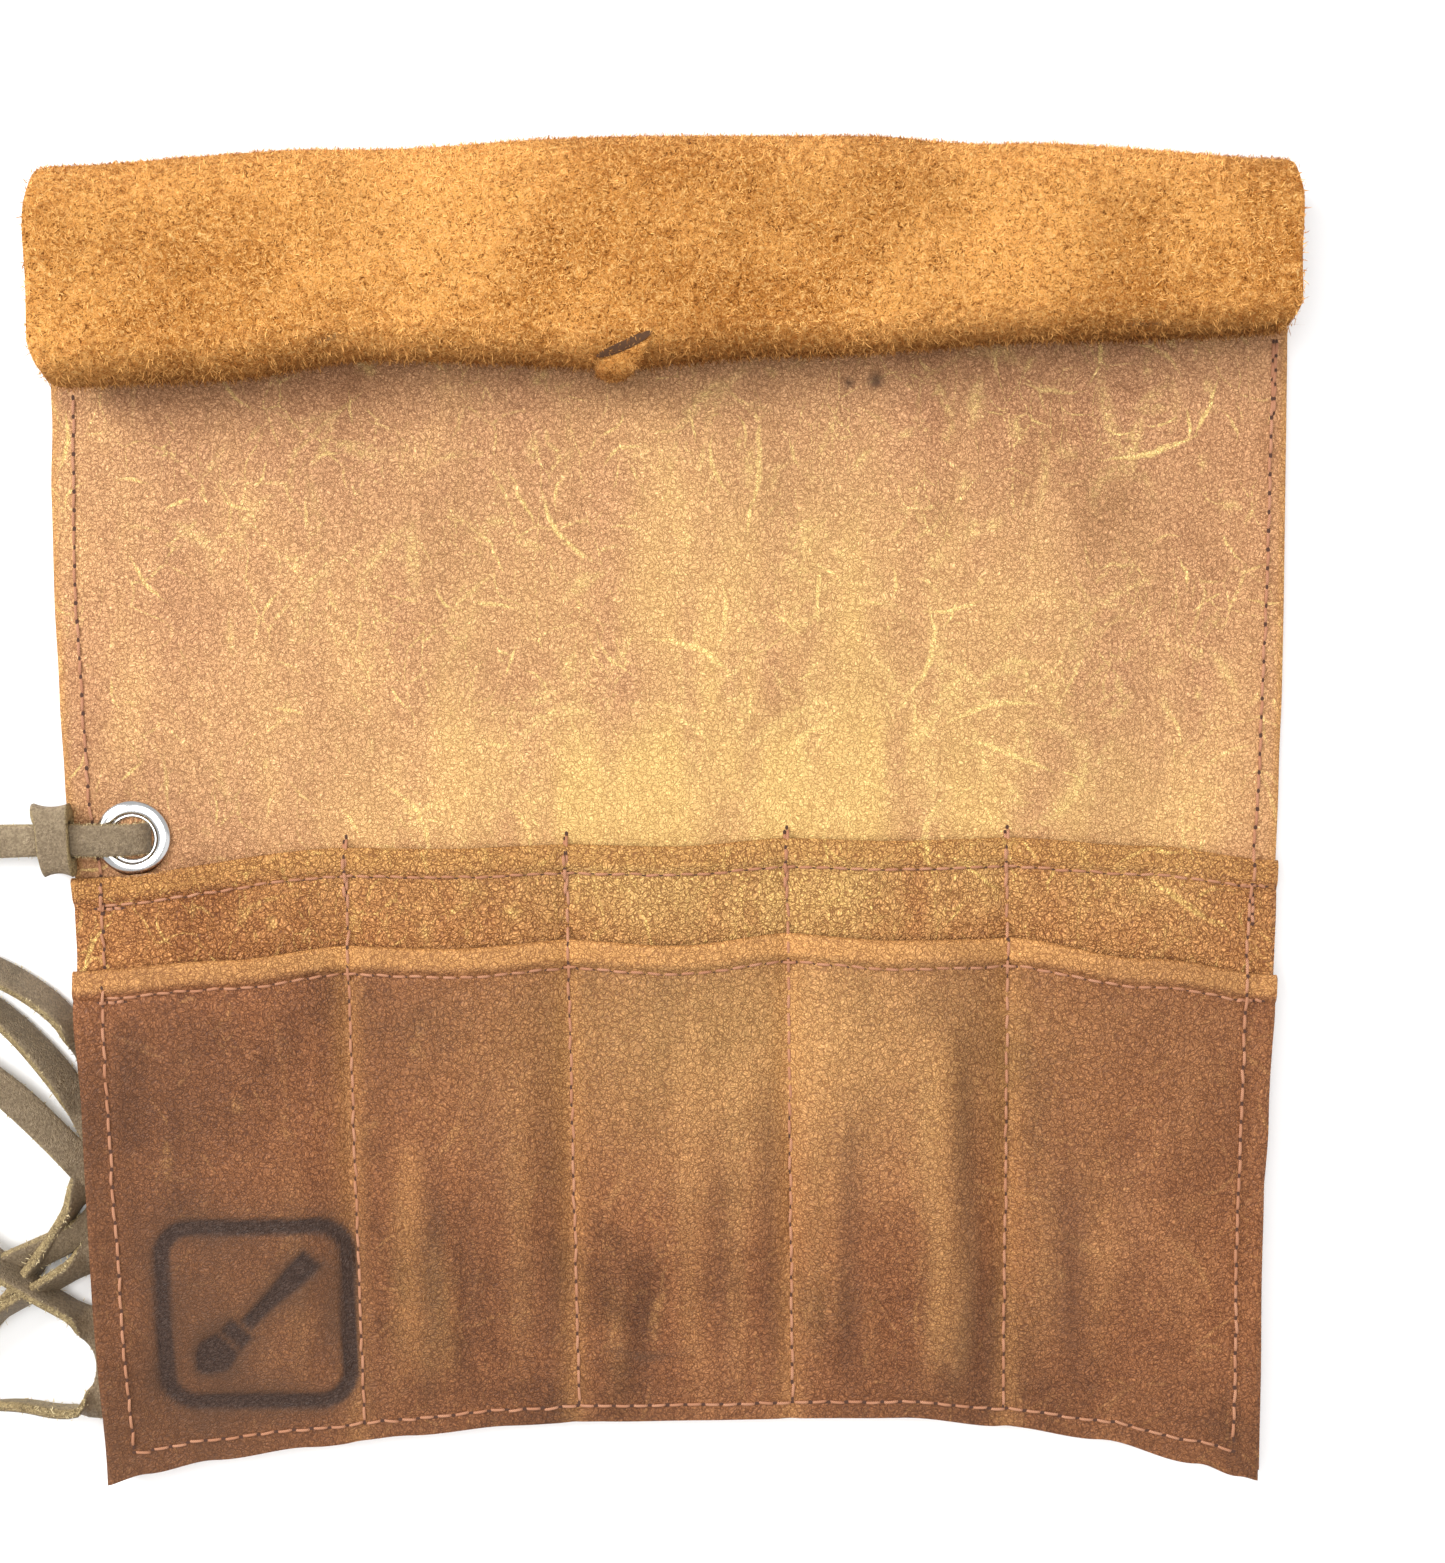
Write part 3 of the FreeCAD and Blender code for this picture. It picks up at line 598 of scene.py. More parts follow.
def thread_material():
    """Twisted sewing thread: fine slanting turns in a dusty pink."""
    material, nodes = new_material("pink_thread")
    turns = nodes.add("ShaderNodeTexWave", Vector=nodes.stretched(nodes.where, (1, 1, 1), (0, 0, 0.78)),
                      Scale=900.0, Distortion=1.5).outputs["Fac"]
    colour = nodes.blend(turns, (0.30, 0.125, 0.065, 1), (0.60, 0.31, 0.185, 1))
    patches = nodes.noise(90.0, 2.0).step(0.35, 0.65) * 0.6
    nodes.finish(Base_Color=nodes.blend(patches, colour, (0.36, 0.15, 0.075, 1)), Roughness=0.7,
                 Specular_IOR_Level=0.2, Normal=nodes.bump(turns, 0.5, 0.0001))
    return material


def nickel_material():
    """Bright nickel with faint polishing lines and fingerprints."""
    material, nodes = new_material("bright_nickel")
    smear = nodes.noise(300.0)
    nodes.finish(Metallic=1.0, Base_Color=nodes.blend(smear, (0.74, 0.74, 0.75, 1), (0.90, 0.90, 0.89, 1)),
                 Roughness=nodes.spread(smear, 0.12, 0.26),
                 Normal=nodes.bump(nodes.noise(900.0, 2.0), 0.06, 0.0001))
    return material


def plain_dark(name, colour):
    """Painted shade for the inside of a needle hole or a slit: a dark colour with a little mottling."""
    material, nodes = new_material(name)
    lighter = (*[2 * part for part in colour[:3]], 1)
    nodes.finish(Base_Color=nodes.blend(nodes.noise(1500.0, 2.0), colour, lighter), Roughness=0.9)
    return material


def lace_face_material():
    """Grain face of the lace: olive taupe, slightly waxed, with lighter rubbed fibres."""
    material, nodes = new_material("lace_leather")
    clouds = nodes.group(CLOUDS, "Color", Dark=(0.130, 0.094, 0.052, 1), Middle=(0.240, 0.176, 0.104, 1),
                         Light=(0.37, 0.285, 0.175, 1))
    side = nodes.attribute("suede")
    fibres = nodes.noise(1500.0, 4.0, 0.7, 1.4)
    raw = nodes.blend(fibres.step(0.35, 0.65), (0.135, 0.088, 0.035, 1), (0.48, 0.355, 0.165, 1))
    height = nodes.group(GRAIN, "Height", Cells=2300.0) + fibres * side
    nodes.finish(Base_Color=nodes.blend(side, clouds, raw), Roughness=0.62,
                 Normal=nodes.bump(height, 0.7, 0.0004))
    return material


# The first three leathers below are given a strength for their painted highlight, a golden patch of painted
# light.
PANEL_LEATHER = grain_leather("tan_grain_leather", (0.46, 0.230, 0.112, 1), (0.62, 0.335, 0.168, 1),
                              (0.80, 0.475, 0.215, 1), 1900.0, glow=0.85, scratch=0.6, rough=0.50,
                              rubs=0.85)
BACK_LEATHER = grain_leather("pebbled_leather", (0.34, 0.128, 0.042, 1), (0.54, 0.245, 0.085, 1),
                             (0.70, 0.370, 0.135, 1), 1500.0, glow=0.6, scratch=0.6, rough=0.42,
                             bump_depth=0.0007, pores=(0.33, 0.23, 0.17, 1), rubs=0.9,
                             mark=(0.92, 0.62, 0.20, 1))
FRONT_LEATHER = grain_leather("brown_pocket_leather", (0.150, 0.058, 0.022, 1),
                              (0.300, 0.120, 0.046, 1), (0.46, 0.206, 0.082, 1), 1600.0, glow=0.4,
                              scratch=0.3, rough=0.48, rubs=0.32, pores=(0.42, 0.33, 0.26, 1),
                              mark=(0.62, 0.33, 0.12, 1),
                              edge=(0.72, 0.37, 0.125, 1))
COVER_LEATHER = grain_leather("outside_leather", (0.26, 0.110, 0.050, 1), (0.42, 0.195, 0.09, 1),
                              (0.52, 0.27, 0.13, 1), 1300.0, scratch=0.5, rough=0.52)
FLAP_SUEDE = suede("orange_suede", (0.56, 0.215, 0.040, 1), (0.90, 0.415, 0.105, 1),
                   (1.0, 0.62, 0.23, 1), (0.20, 0.13, 0.08, 1))
NAP_FIBRE = nap("suede_fibres", (0.36, 0.125, 0.022, 1), (1.0, 0.54, 0.17, 1))
LACE_FIBRE = nap("lace_fibres", (0.34, 0.25, 0.12, 1), (0.80, 0.66, 0.38, 1))
THREAD = thread_material()
# Dark materials that stand for the shade inside the needle holes and the slit.
NEEDLE_HOLE_SHADE = plain_dark("needle_hole_shade", (0.045, 0.018, 0.010, 1))
SLIT = plain_dark("slit_shadow", (0.060, 0.026, 0.010, 1))
NICKEL = nickel_material()
LACE_LEATHER = lace_face_material()


# ---------------------------------------------------------------- tops of the layers

def back_sheet(x, y):
    """Underside of the back pockets: flat at the seams, rising in each pocket."""
    return BACK_UNDER + lie(x, y) + puff(x, y, back_hem(x), 2.7)


def front_sheet(x, y):
    """Underside of the front pockets: over the back ones, with a rise and ripples of its own."""
    own = puff(x, y, front_hem(x), 2.6) + ripple(x, y)
    return FRONT_UNDER + lie(x, y) + puff(x, y, back_hem(x), 2.7) + own


def hem_swell(y, hem):
    """Extra thickness where the edge is turned, a groove at its seam."""
    turned = 1.0 * ease((y - hem + HEM_INSET + 0.6) / 2.2)
    groove = 0.45 * np.exp(-((y - hem + HEM_INSET) / 1.1) ** 2)
    return turned - groove


def back_top(x, y):
    """Top of the back pocket leather."""
    return back_sheet(x, y) + POCKET_HIDE + hem_swell(y, back_hem(x)) - seam_dent(x)


def front_top(x, y):
    """Top of the front pocket leather."""
    return front_sheet(x, y) + POCKET_HIDE + hem_swell(y, front_hem(x)) - seam_dent(x)


def panel_top(x, y):
    """Top of the main hide."""
    return PANEL_TOP + lie(x, y) + 0 * x


def stack_top(x, y):
    """Top of whatever lies uppermost at (x, y)."""
    top = np.where(y < back_hem(x), back_top(x, y), panel_top(x, y))
    return np.where(y < front_hem(x), front_top(x, y), top)


# ---------------------------------------------------------------- painted values

def strokes(x, y, count, box, seed, longest=26.0):
    """Curved rub marks: each a short bent line, widest in its middle, faded at both ends."""
    draw = np.random.default_rng(seed)
    field = np.zeros_like(x)
    for _ in range(count):
        px, py = draw.uniform(box[0], box[1]), draw.uniform(box[2], box[3])
        heading = draw.normal(1.45, 0.6) if draw.random() < 0.6 else draw.uniform(0, math.pi)
        bend = draw.normal(0, 0.05)
        length = 4 + longest * draw.random() ** 2.2
        width = 0.35 + 0.75 * draw.random() ** 2
        strength = draw.uniform(0.35, 1.0)
        steps = max(6, int(length / 1.2))
        for k in range(steps):
            near = (np.abs(x - px) < 4) & (np.abs(y - py) < 4)
            share = math.sin(math.pi * (k + 0.5) / steps)
            spread = width * (0.5 + share)
            dx, dy = x[near] - px, y[near] - py
            bell = strength * share ** 0.4 * np.exp(-((dx * dx + dy * dy) / spread ** 2))
            field[near] = np.maximum(field[near], bell)
            px += math.cos(heading) * length / steps
            py += math.sin(heading) * length / steps
            heading += bend * length / steps
    return field


def glow(x, y):
    """Painted highlight: a golden patch of painted light over the middle of the hide, from two broad bells
    and streaks.
    """
    broad = 0.75 * np.exp(-((x - 18) / 92) ** 2 - ((y - 30) / 62) ** 2)
    low = 0.75 * np.exp(-((x - 22) / 80) ** 2 - ((y - 2) / 24) ** 2)
    cloud = 0.68 + 0.5 * soft_noise(x, y, 16, 34, 21) + 0.3 * soft_noise(x, y, 5, 17, 22)
    return np.clip((broad + low) * cloud, 0, 1)


def mark_distance(x, y, centre=(-105.5, -119.5), size=1.08):
    """Distance to the line work of a plain stamp: a paintbrush in a frame with rounded corners."""
    dx, dy = (x - centre[0]) / size, (y - centre[1]) / size
    corner = 9.0
    qx, qy = np.abs(dx) - (23.0 - corner), np.abs(dy) - (23.0 - corner)
    outside = np.hypot(np.maximum(qx, 0), np.maximum(qy, 0)) + np.minimum(np.maximum(qx, qy), 0)
    frame_line = np.abs(outside - corner + 1.9) - 1.9
    along = (dx + dy) / math.sqrt(2)
    side = (dy - dx) / math.sqrt(2)
    handle_width = 1.7 + 1.1 * ease((along - 2) / 14)
    handle = np.maximum(np.abs(side) - handle_width, np.maximum(along - 19, -along - 3.5))
    ferrule = np.maximum(np.abs(side) - 3.3, np.maximum(along + 4.6, -along - 8.6))
    belly = 4.6 * np.sqrt(np.clip((along + 19.5) / 5.0, 0, 1)) * (1 - 0.25 * ease((along + 14) / 5))
    bristles = np.maximum(np.abs(side) - belly, np.maximum(along + 9.6, -along - 19.5))
    return np.minimum(np.minimum(frame_line, handle), np.minimum(ferrule, bristles))


# ---------------------------------------------------------------- flat leather pieces

def sheet_columns(y, share, extra_left=0.0, extra_right=0.0):
    """x of each column of a sheet, from its left edge to its right edge at y."""
    low = left_edge(y) - extra_left
    high = right_edge(y) + extra_right * ease((20 - y) / 120)
    return low + (high - low) * share


def make_cover():
    """Outside leather: a plain sheet under the hide, a little proud at the lower right."""
    v, s = np.meshgrid(np.linspace(0, 1, 70), across(72), indexing="ij")
    x = sheet_columns(BOTTOM + v * (COVER_HIGH[1] - BOTTOM), s, 0.3, 1.9)
    y = bottom_edge(x) + v * (COVER_HIGH[1] - bottom_edge(x)) + 1.1 * ease((x - 60) / 80) * (1 - v)
    z = lie(x, y)
    top = xyz(x, y, z + COVER_HIGH[2])
    under = xyz(x, y, z + 0.35 * (1 - ease(np.minimum(s, 1 - s) / 0.004)) + 0.02)
    cover = slab("outside_cover_leather", top, under, COVER_LEATHER)
    settle(cover, "cover_leather", "outer_cover")


def make_panel():
    """Main hide: fine rows where it is bare, few under the pockets and the roll."""
    rows = np.concatenate([np.linspace(0, 0.455, 10)[:-1], np.linspace(0.455, 0.90, 138),
                           np.linspace(0.90, 1.0, 7)[1:]])
    v, s = np.meshgrid(rows, across(284), indexing="ij")
    end = PANEL_HIGH[1] - 5.9
    x = sheet_columns(BOTTOM + v * (end - BOTTOM), s)
    y = bottom_edge(x) + v * (end - bottom_edge(x))
    z = panel_top(x, y)
    swell = 0.35 * soft_noise(x, y, 12, 22, 31) * ease((145 - np.abs(x)) / 12)
    z = z - edge_drop(s) + 0.3 * swell * ease((y + 5) / 8) * ease((110 - y) / 8)
    bore = np.hypot(x - EYELET[0], y - EYELET[1])
    z = z - 0.5 * np.exp(-((bore - 9.6) / 1.6) ** 2)
    marks = strokes(x, y, 150, (-120, 140, -2, 112), 41)
    marks = np.maximum(marks, strokes(x, y, 60, (-40, 110, -4, 60), 42, 34.0))
    rub = 0.9 * (1 - ease(np.minimum(x - x.min(axis=1, keepdims=True),
                                     x.max(axis=1, keepdims=True) - x) / 2.6))
    under = xyz(x, y, z - HIDE + edge_drop(s))
    # Painted shadow under the roll, painted shade towards the lower left, patchy darker tone, and two real
    # dark spots near the roll.
    painted_shade_and_spots = 0.16 * ease((y - 96) / 14)
    painted_shade_and_spots = painted_shade_and_spots + 0.13 * ease((-78 - x) / 60) * ease((46 - y) / 40)
    painted_shade_and_spots = painted_shade_and_spots + 0.07 * np.maximum(soft_noise(x, y, 40, 40, 32), 0)
    for spot_x, spot_y, wide in ((42.5, 108.0, 1.3), (49.0, 108.6, 2.0)):
        painted_shade_and_spots = np.maximum(painted_shade_and_spots, 1.1 * np.exp(-(np.hypot(x - spot_x, y - spot_y) / wide) ** 2))
    # The hide's painted values: scratches, the painted highlight, rubbed edges, and dark spots with painted
    # shade.
    panel = slab("main_hide", xyz(x, y, z), under, PANEL_LEATHER,
                 attributes={"scratch": marks, "glow": glow(x, y), "rub": rub,
                             "soot": np.clip(painted_shade_and_spots, 0, 0.9)})
    settle(panel, "grain_leather", "body_panel")


def hemmed_sheet(name, leather, rows, under_of, top_of, hem_of, paint, extra=(0.0, 0.0)):
    """A pocket sheet with its upper edge turned over: flat rows, then rows round a half circle."""
    turns = np.radians([14, 28, 42, 55, 67, 78, 86])
    v, s = np.meshgrid(rows, across(284), indexing="ij")
    round_off = 1.35
    guess = BOTTOM + v * (hem_of(0 * v) - BOTTOM)
    x = sheet_columns(guess, s, *extra)
    y = bottom_edge(x) + v * (hem_of(x) - round_off - bottom_edge(x))
    top, under = top_of(x, y) - edge_drop(s), under_of(x, y)
    last_x, last_y = x[-1], y[-1]
    middle, reach = (top[-1] + under[-1]) / 2, (top[-1] - under[-1]) / 2
    turned = np.sin(turns)[:, None] * np.ones_like(last_x)
    lifted = np.cos(turns)[:, None] * reach
    more_y = last_y + round_off * turned
    more_x = np.ones((len(turns), 1)) * last_x
    x, y = np.concatenate([x, more_x]), np.concatenate([y, more_y])
    top = np.concatenate([top, middle + lifted])
    under = np.concatenate([under, middle - lifted])
    attributes = paint(x, y)
    top = top - 0.45 * attributes.get("burn", 0 * x)
    return slab(name, xyz(x, y, top), xyz(x, y, under), leather,
                attributes=attributes)


def hem_rub(y, hem):
    """Worn gold along the turned edge."""
    return 0.95 * ease((y - hem + 6.4) / 2.6) * (0.75 + 0.25 * soft_noise(y * 3, y, 9, 9, 51))


def make_back_pockets():
    """Upper pocket tier."""
    def paint(x, y):
        """Worn hem, scratches and the edge of the painted highlight."""
        marks = strokes(x, y, 46, (-120, 120, -28, -8), 43, 16.0)
        return {"rub": hem_rub(y, back_hem(x)), "scratch": marks, "glow": 0.9 * glow(x, y + 6)}
    rows = np.concatenate([np.linspace(0, 0.76, 12)[:-1], np.linspace(0.76, 1.0, 42)])
    sheet_piece = hemmed_sheet("back_pocket_leather", BACK_LEATHER, rows, back_sheet, back_top,
                               back_hem, paint)
    settle(sheet_piece, "pebbled_leather", "back_pocket_panel")


def make_front_pockets():
    """Lower pocket tier, with the plain brush stamp burnt into its left pocket."""
    def paint(x, y):
        """Stamp, its dark halo, worn hem and ridges, a faint red crease, painted shade in the fold valleys
        and towards the left and bottom, and a painted highlight low in the middle and on the lit sides of the
        folds.
        """
        away = mark_distance(x, y)
        burn = ease((0.55 - away) / 1.1)
        inside = ease((27 - np.hypot(x + 105.5, y + 119.5)) / 12)
        halo = 0.62 * np.exp(-np.maximum(away, 0) / 4.6) + 0.34 * inside
        # Painted shade: darker towards the left and towards the bottom.
        side_shade = 0.34 * ease((-92 - x) / 50) * ease((-32 - y) / 30)
        low_shade = 0.26 * ease((-120 - y) / 36) + side_shade
        halo = halo * (0.8 + 0.2 * soft_noise(x, y, 9, 9, 61))
        ridge = ripple(x, y) + 0.6 * column_share(x)
        rub = hem_rub(y, front_hem(x)) + 0.28 * ease((ridge - 1.0) / 1.2)
        seams = np.zeros_like(x)
        for place in DIVIDERS:
            seams = seams + 0.35 * np.exp(-((x - place) / 3.4) ** 2)
        crease = 0.5 * np.exp(-((x + 9) / 9) ** 2 - ((y + 130 - 1.5 * np.sin(x / 5)) / 1.5) ** 2)
        # Painted shade on the shaded sides of the folds, with patchy darker tone.
        folds = 0.42 * valley(x, y) + 0.16 * np.maximum(soft_noise(x, y, 14, 40, 62), 0)
        # Painted highlight: a golden patch low in the middle and on the lit sides of the folds.
        low_painted_highlight = 0.75 * np.exp(-((x - 22) / 62) ** 2 - ((y + 48) / 34) ** 2)
        low_painted_highlight = np.clip(low_painted_highlight + 0.30 * crest(x, y), 0, 1)
        marks = 0.8 * strokes(x, y, 42, (-130, 130, -140, -40), 44, 14.0)
        return {"burn": burn, "soot": np.clip(halo + crease + folds + low_shade, 0, 0.92),
                "rub": np.clip(rub + seams, 0, 1), "scratch": marks, "glow": low_painted_highlight}
    rows = np.linspace(0, 1, 136)
    sheet_piece = hemmed_sheet("front_pocket_leather", FRONT_LEATHER, rows, front_sheet, front_top,
                               front_hem, paint, (0.4, 0.4))
    settle(sheet_piece, "pocket_leather", "front_pocket_panel")


# ---------------------------------------------------------------- rolled flap

ROLL_HEIGHT = [(-150, 24.4), (-60, 22.6), (0, 21.6), (80, 19.6), (150, 18.0)]
ROLL_BACK = [(-150, 158.4), (-80, 161.6), (-4, 164.4), (45, 164.2), (80, 162.4), (150, 158.2)]
ROLL_FRONT = [(-150, 107.4), (-112, 109.0), (-70, 113.6), (-18, 111.2), (31, 113.6), (98, 116.8),
              (150, 118.2)]
FRONT_REST = 4.9
TAIL = 16.0
FLAP_HALF = 148.0
FLAP_BODIES = ["case", *[f"strip_{k}" for k in range(1, 7)]]
FLAP_CUTS = [0.0, 1.5, 2.5, 3.5, 4.5, 5.5, 6.5, 7.0]


def roll_point(turn, x):
    """Outer surface of the flap: turn runs 0..1 under the roll, 1..3 up and over its back,
    3..4 forward along its top, 4..6 down and under its front, 6..7 back along its tail.
    Each stretch is a straight run or a quarter circle; gives (y, z) and the way outwards."""
    high = through(x, ROLL_HEIGHT)
    low_z = PANEL_LOW[2]
    back_r = high / 2
    front_r = (low_z + high - FRONT_REST) / 2
    back_y = through(x, ROLL_BACK) - back_r
    front_y = through(x, ROLL_FRONT) + front_r
    start = PANEL_HIGH[1] - 6.0
    first = np.clip(turn, 0, 1)
    a1 = np.clip(turn - 1, 0, 2) * math.pi / 2
    run = np.clip(turn - 3, 0, 1)
    a2 = np.clip(turn - 4, 0, 2) * math.pi / 2
    tail = np.clip(turn - 6, 0, 1)
    y_back = start + (back_y - start) * first + back_r * np.sin(a1)
    z_back = low_z + back_r * (1 - np.cos(a1))
    y = y_back + (front_y - back_y) * run - front_r * np.sin(a2) + TAIL * tail
    z = z_back - front_r * (1 - np.cos(a2))
    angle = a1 + a2
    wave = 0.45 * soft_noise(x, turn * 22, 26, 17, 71) * ease((turn - 1.1) / 0.6)
    out_y, out_z = np.sin(angle), -np.cos(angle)
    return y + wave * out_y, z + wave * out_z, out_y, out_z


def drawn_in(x, turn):
    """x on the flap, drawn in towards the ends over its back and down its front."""
    return x - x / FLAP_HALF * (3.0 * ease((3.2 - turn) / 1.6) + 4.6 * ease((turn - 3.9) / 1.5))


def flap_grid(turns, xs):
    """Outer and inner grids of the flap between two places round the roll."""
    turn, x = np.meshgrid(turns, xs, indexing="ij")
    y, z, out_y, out_z = roll_point(turn, x)
    edge = np.minimum(x - xs[0], xs[-1] - x)
    drop = 0.35 * (1 - ease(edge / 1.2))
    stray = 0.5 * soft_noise(turn * 30, 0 * x, 14, 9, 72) * np.sign(x) * (1 - ease(edge / 1.0))
    x = drawn_in(x, turn) + stray
    return (xyz(x, y - drop * out_y, z - drop * out_z),
            xyz(x, y - HIDE * out_y, z - HIDE * out_z))


def fibre_tufts(name, material, roots, along, across_dirs, out, shortest, longest, lift, seed, paint=None):
    """Loose fibres: each a bent, pointed blade of five points lying over from its root."""
    draw = np.random.default_rng(seed)
    count = len(roots)
    heading = draw.uniform(0, 2 * math.pi, count)[:, None]
    length = (shortest + (longest - shortest) * draw.random(count) ** 2)[:, None]
    rise = draw.uniform(lift[0], lift[1], count)[:, None]
    lay = np.cos(heading) * along + np.sin(heading) * across_dirs
    side = -np.sin(heading) * along + np.cos(heading) * across_dirs
    curl = draw.normal(0, 0.35, count)[:, None] * length
    width = draw.uniform(0.055, 0.12, count)[:, None]
    bend = roots + lay * length * 0.55 * np.cos(rise) + out * length * 0.62 * np.sin(rise) + side * curl * 0.3
    tip = roots + lay * length * np.cos(rise) + out * length * 0.8 * np.sin(rise) + side * curl
    sunk = roots - out * 0.15
    points = np.stack([sunk - side * width, sunk + side * width, bend + side * width * 0.8,
                       bend - side * width * 0.8, tip], axis=1).reshape(-1, 3)
    first = (np.arange(count) * 5)[:, None]
    quads = (first + np.array([0, 1, 2, 3])).tolist()
    tips = (first + np.array([3, 2, 4])).tolist()
    values = {key: np.repeat(value, 5) for key, value in (paint or {}).items()}
    return piece(name, points, quads + tips, material, attributes=values, mends=False)


def flap_shade(turn, x):
    """0 to 1 where the nap turns away from the light: down the front, more to the right."""
    front = ease((turn - 3.95) / 1.1)
    right = 0.22 * ease((x - 40) / 110) * ease((turn - 3.6) / 0.8)
    return np.clip(0.80 * front + right + 0.12 * soft_noise(x, turn * 22, 22, 22, 73), 0, 1)


def flap_stain(turn, x):
    """Two small dark marks on the front of the roll: narrow bells."""
    left = np.exp(-((x + 80) / 3.2) ** 2 - ((turn - 4.36 + (x + 80) * 0.012) / 0.05) ** 2)
    right = np.exp(-((x - 112) / 4.0) ** 2 - ((turn - 4.46) / 0.05) ** 2)
    return np.clip(0.8 * left + 0.9 * right, 0, 1)


def on_roll(x, turn, rise):
    """Points that high above the flap's outer surface."""
    y, z, out_y, out_z = roll_point(turn, x)
    return xyz(x, y + rise * out_y, z + rise * out_z)


def nap_ways(x, turn):
    """Directions along the roll, over it and out of it, at each root of a fibre."""
    _, _, out_y, out_z = roll_point(turn, x)
    zero, one = np.zeros(len(x)), np.ones(len(x))
    return xyz(one, zero, zero), xyz(zero, -out_z, out_y), xyz(zero, out_y, out_z)


def bend_over(item, low, high):
    """Bake a piece of the flap's transform into its mesh; the roll's points at low and high are worked out
    but not used.
    """
    ends = [roll_point(np.array(turn), np.array(0.0)) for turn in (low, high)]
    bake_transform(item)


def make_flap():
    """The flap in seven stretches that meet halfway along each strip; the last rides strip_6."""
    xs = np.concatenate([[-148.2, -147.8, -147.2], np.linspace(-146.4, 145.8, 190), [146.6, 147.2, 147.6]])
    draw = np.random.default_rng(77)
    for index, (low, high) in enumerate(zip(FLAP_CUTS, FLAP_CUTS[1:])):
        turns = np.linspace(low, high, int(8 + 20 * (high - low)))
        turn, x = np.meshgrid(turns, xs, indexing="ij")
        paint = {"deep": flap_shade(turn, x), "stain": flap_stain(turn, x)}
        stretch = slab(f"flap_suede_{index + 1}", *flap_grid(turns, xs), FLAP_SUEDE, PANEL_LEATHER,
                       attributes=paint)
        seen = 1.0 if 0 < index < 5 else 0.45
        tufts = int(17000 * (high - low) * seen)
        turn = draw.uniform(max(low, 0.8), high, tufts)
        x = draw.uniform(xs[0], xs[-1], tufts)
        roots, ways = on_roll(x, turn, 0.0), nap_ways(x, turn)
        roots[:, 0] = drawn_in(x, turn)
        longest = 2.4 + 1.3 * (index in (4, 5))
        fibres = fibre_tufts(f"flap_fibres_{index + 1}", NAP_FIBRE, roots, *ways, 0.6, longest, (0.15, 0.8),
                             80 + index, {"deep": flap_shade(turn, roots[:, 0])})
        for item in (stretch, fibres):
            if index < 6:
                bend_over(item, max(low, 0.75), high)
            else:
                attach(item, FLAP_BODIES[6])
        if index > 0:
            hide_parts(f"flap_strip_{index}")


def tongue_place(u, v):
    """x, turn and rise of the tongue: it leans and narrows down its length, and domes across it."""
    x = -10.4 + 6.2 * u * (1 - 0.35 * v ** 2) - 3.6 * v
    rise = 0.3 + 3.5 * np.sin(math.pi * v ** 0.7 * 0.72) * np.sqrt(np.clip(1 - u * u, 0, 1))
    return x, 4.44 + 0.62 * v - 0.20 * u * (1 - v), rise


def make_tongue():
    """Small slit cut in the flap's front, with the tongue of suede below it, a dark sheet of painted shadow
    in the slit, and painted shade deepening down the tongue.
    """
    v, u = np.meshgrid(np.linspace(0, 1, 22), np.linspace(-1, 1, 25), indexing="ij")
    x, turn, rise = tongue_place(u, v)
    # Painted shade on the tongue, deeper towards its lower end.
    tongue = slab("flap_tongue", on_roll(x, turn, rise), on_roll(x, turn, -0.4), FLAP_SUEDE,
                  attributes={"deep": np.clip(0.25 + 0.5 * v, 0, 1), "stain": 0 * v})
    width, along = np.meshgrid(np.linspace(-1, 1, 5), np.linspace(-1, 1, 25), indexing="ij")
    x = -10.6 + 6.6 * along
    turn = 4.36 - 0.20 * along + 0.085 * width * np.sqrt(np.clip(1 - along ** 2, 0, 1))
    # A dark sheet in the slit: painted shadow in its opening.
    slit = slab("flap_slit", on_roll(x, turn, 0.55), on_roll(x, turn, -0.5), SLIT)
    draw = np.random.default_rng(91)
    u, v = draw.uniform(-0.95, 0.95, 700), draw.uniform(0.02, 1, 700)
    x, turn, rise = tongue_place(u, v)
    # The tongue's fibres take the same painted shade.
    fibres = fibre_tufts("flap_tongue_fibres", NAP_FIBRE, on_roll(x, turn, rise), *nap_ways(x, turn),
                         0.5, 2.0, (0.15, 0.8), 92, {"deep": 0.3 + 0.4 * v})
    for item in (tongue, slit, fibres):
        bend_over(item, 4.5, 5.5)


make_cover()
make_panel()
make_back_pockets()
make_front_pockets()
make_flap()
make_tongue()


# ---------------------------------------------------------------- stitches

def walk(points, pitch):
    """Points every pitch along a line of straight runs."""
    points = np.array(points, float)
    lengths = np.hypot(*np.diff(points, axis=0).T)
    travelled = np.concatenate([[0], np.cumsum(lengths)])
    count = max(2, int(round(travelled[-1] / pitch)) + 1)
    at = np.linspace(0, travelled[-1], count)
    return np.stack([np.interp(at, travelled, points[:, k]) for k in (0, 1)], axis=-1)


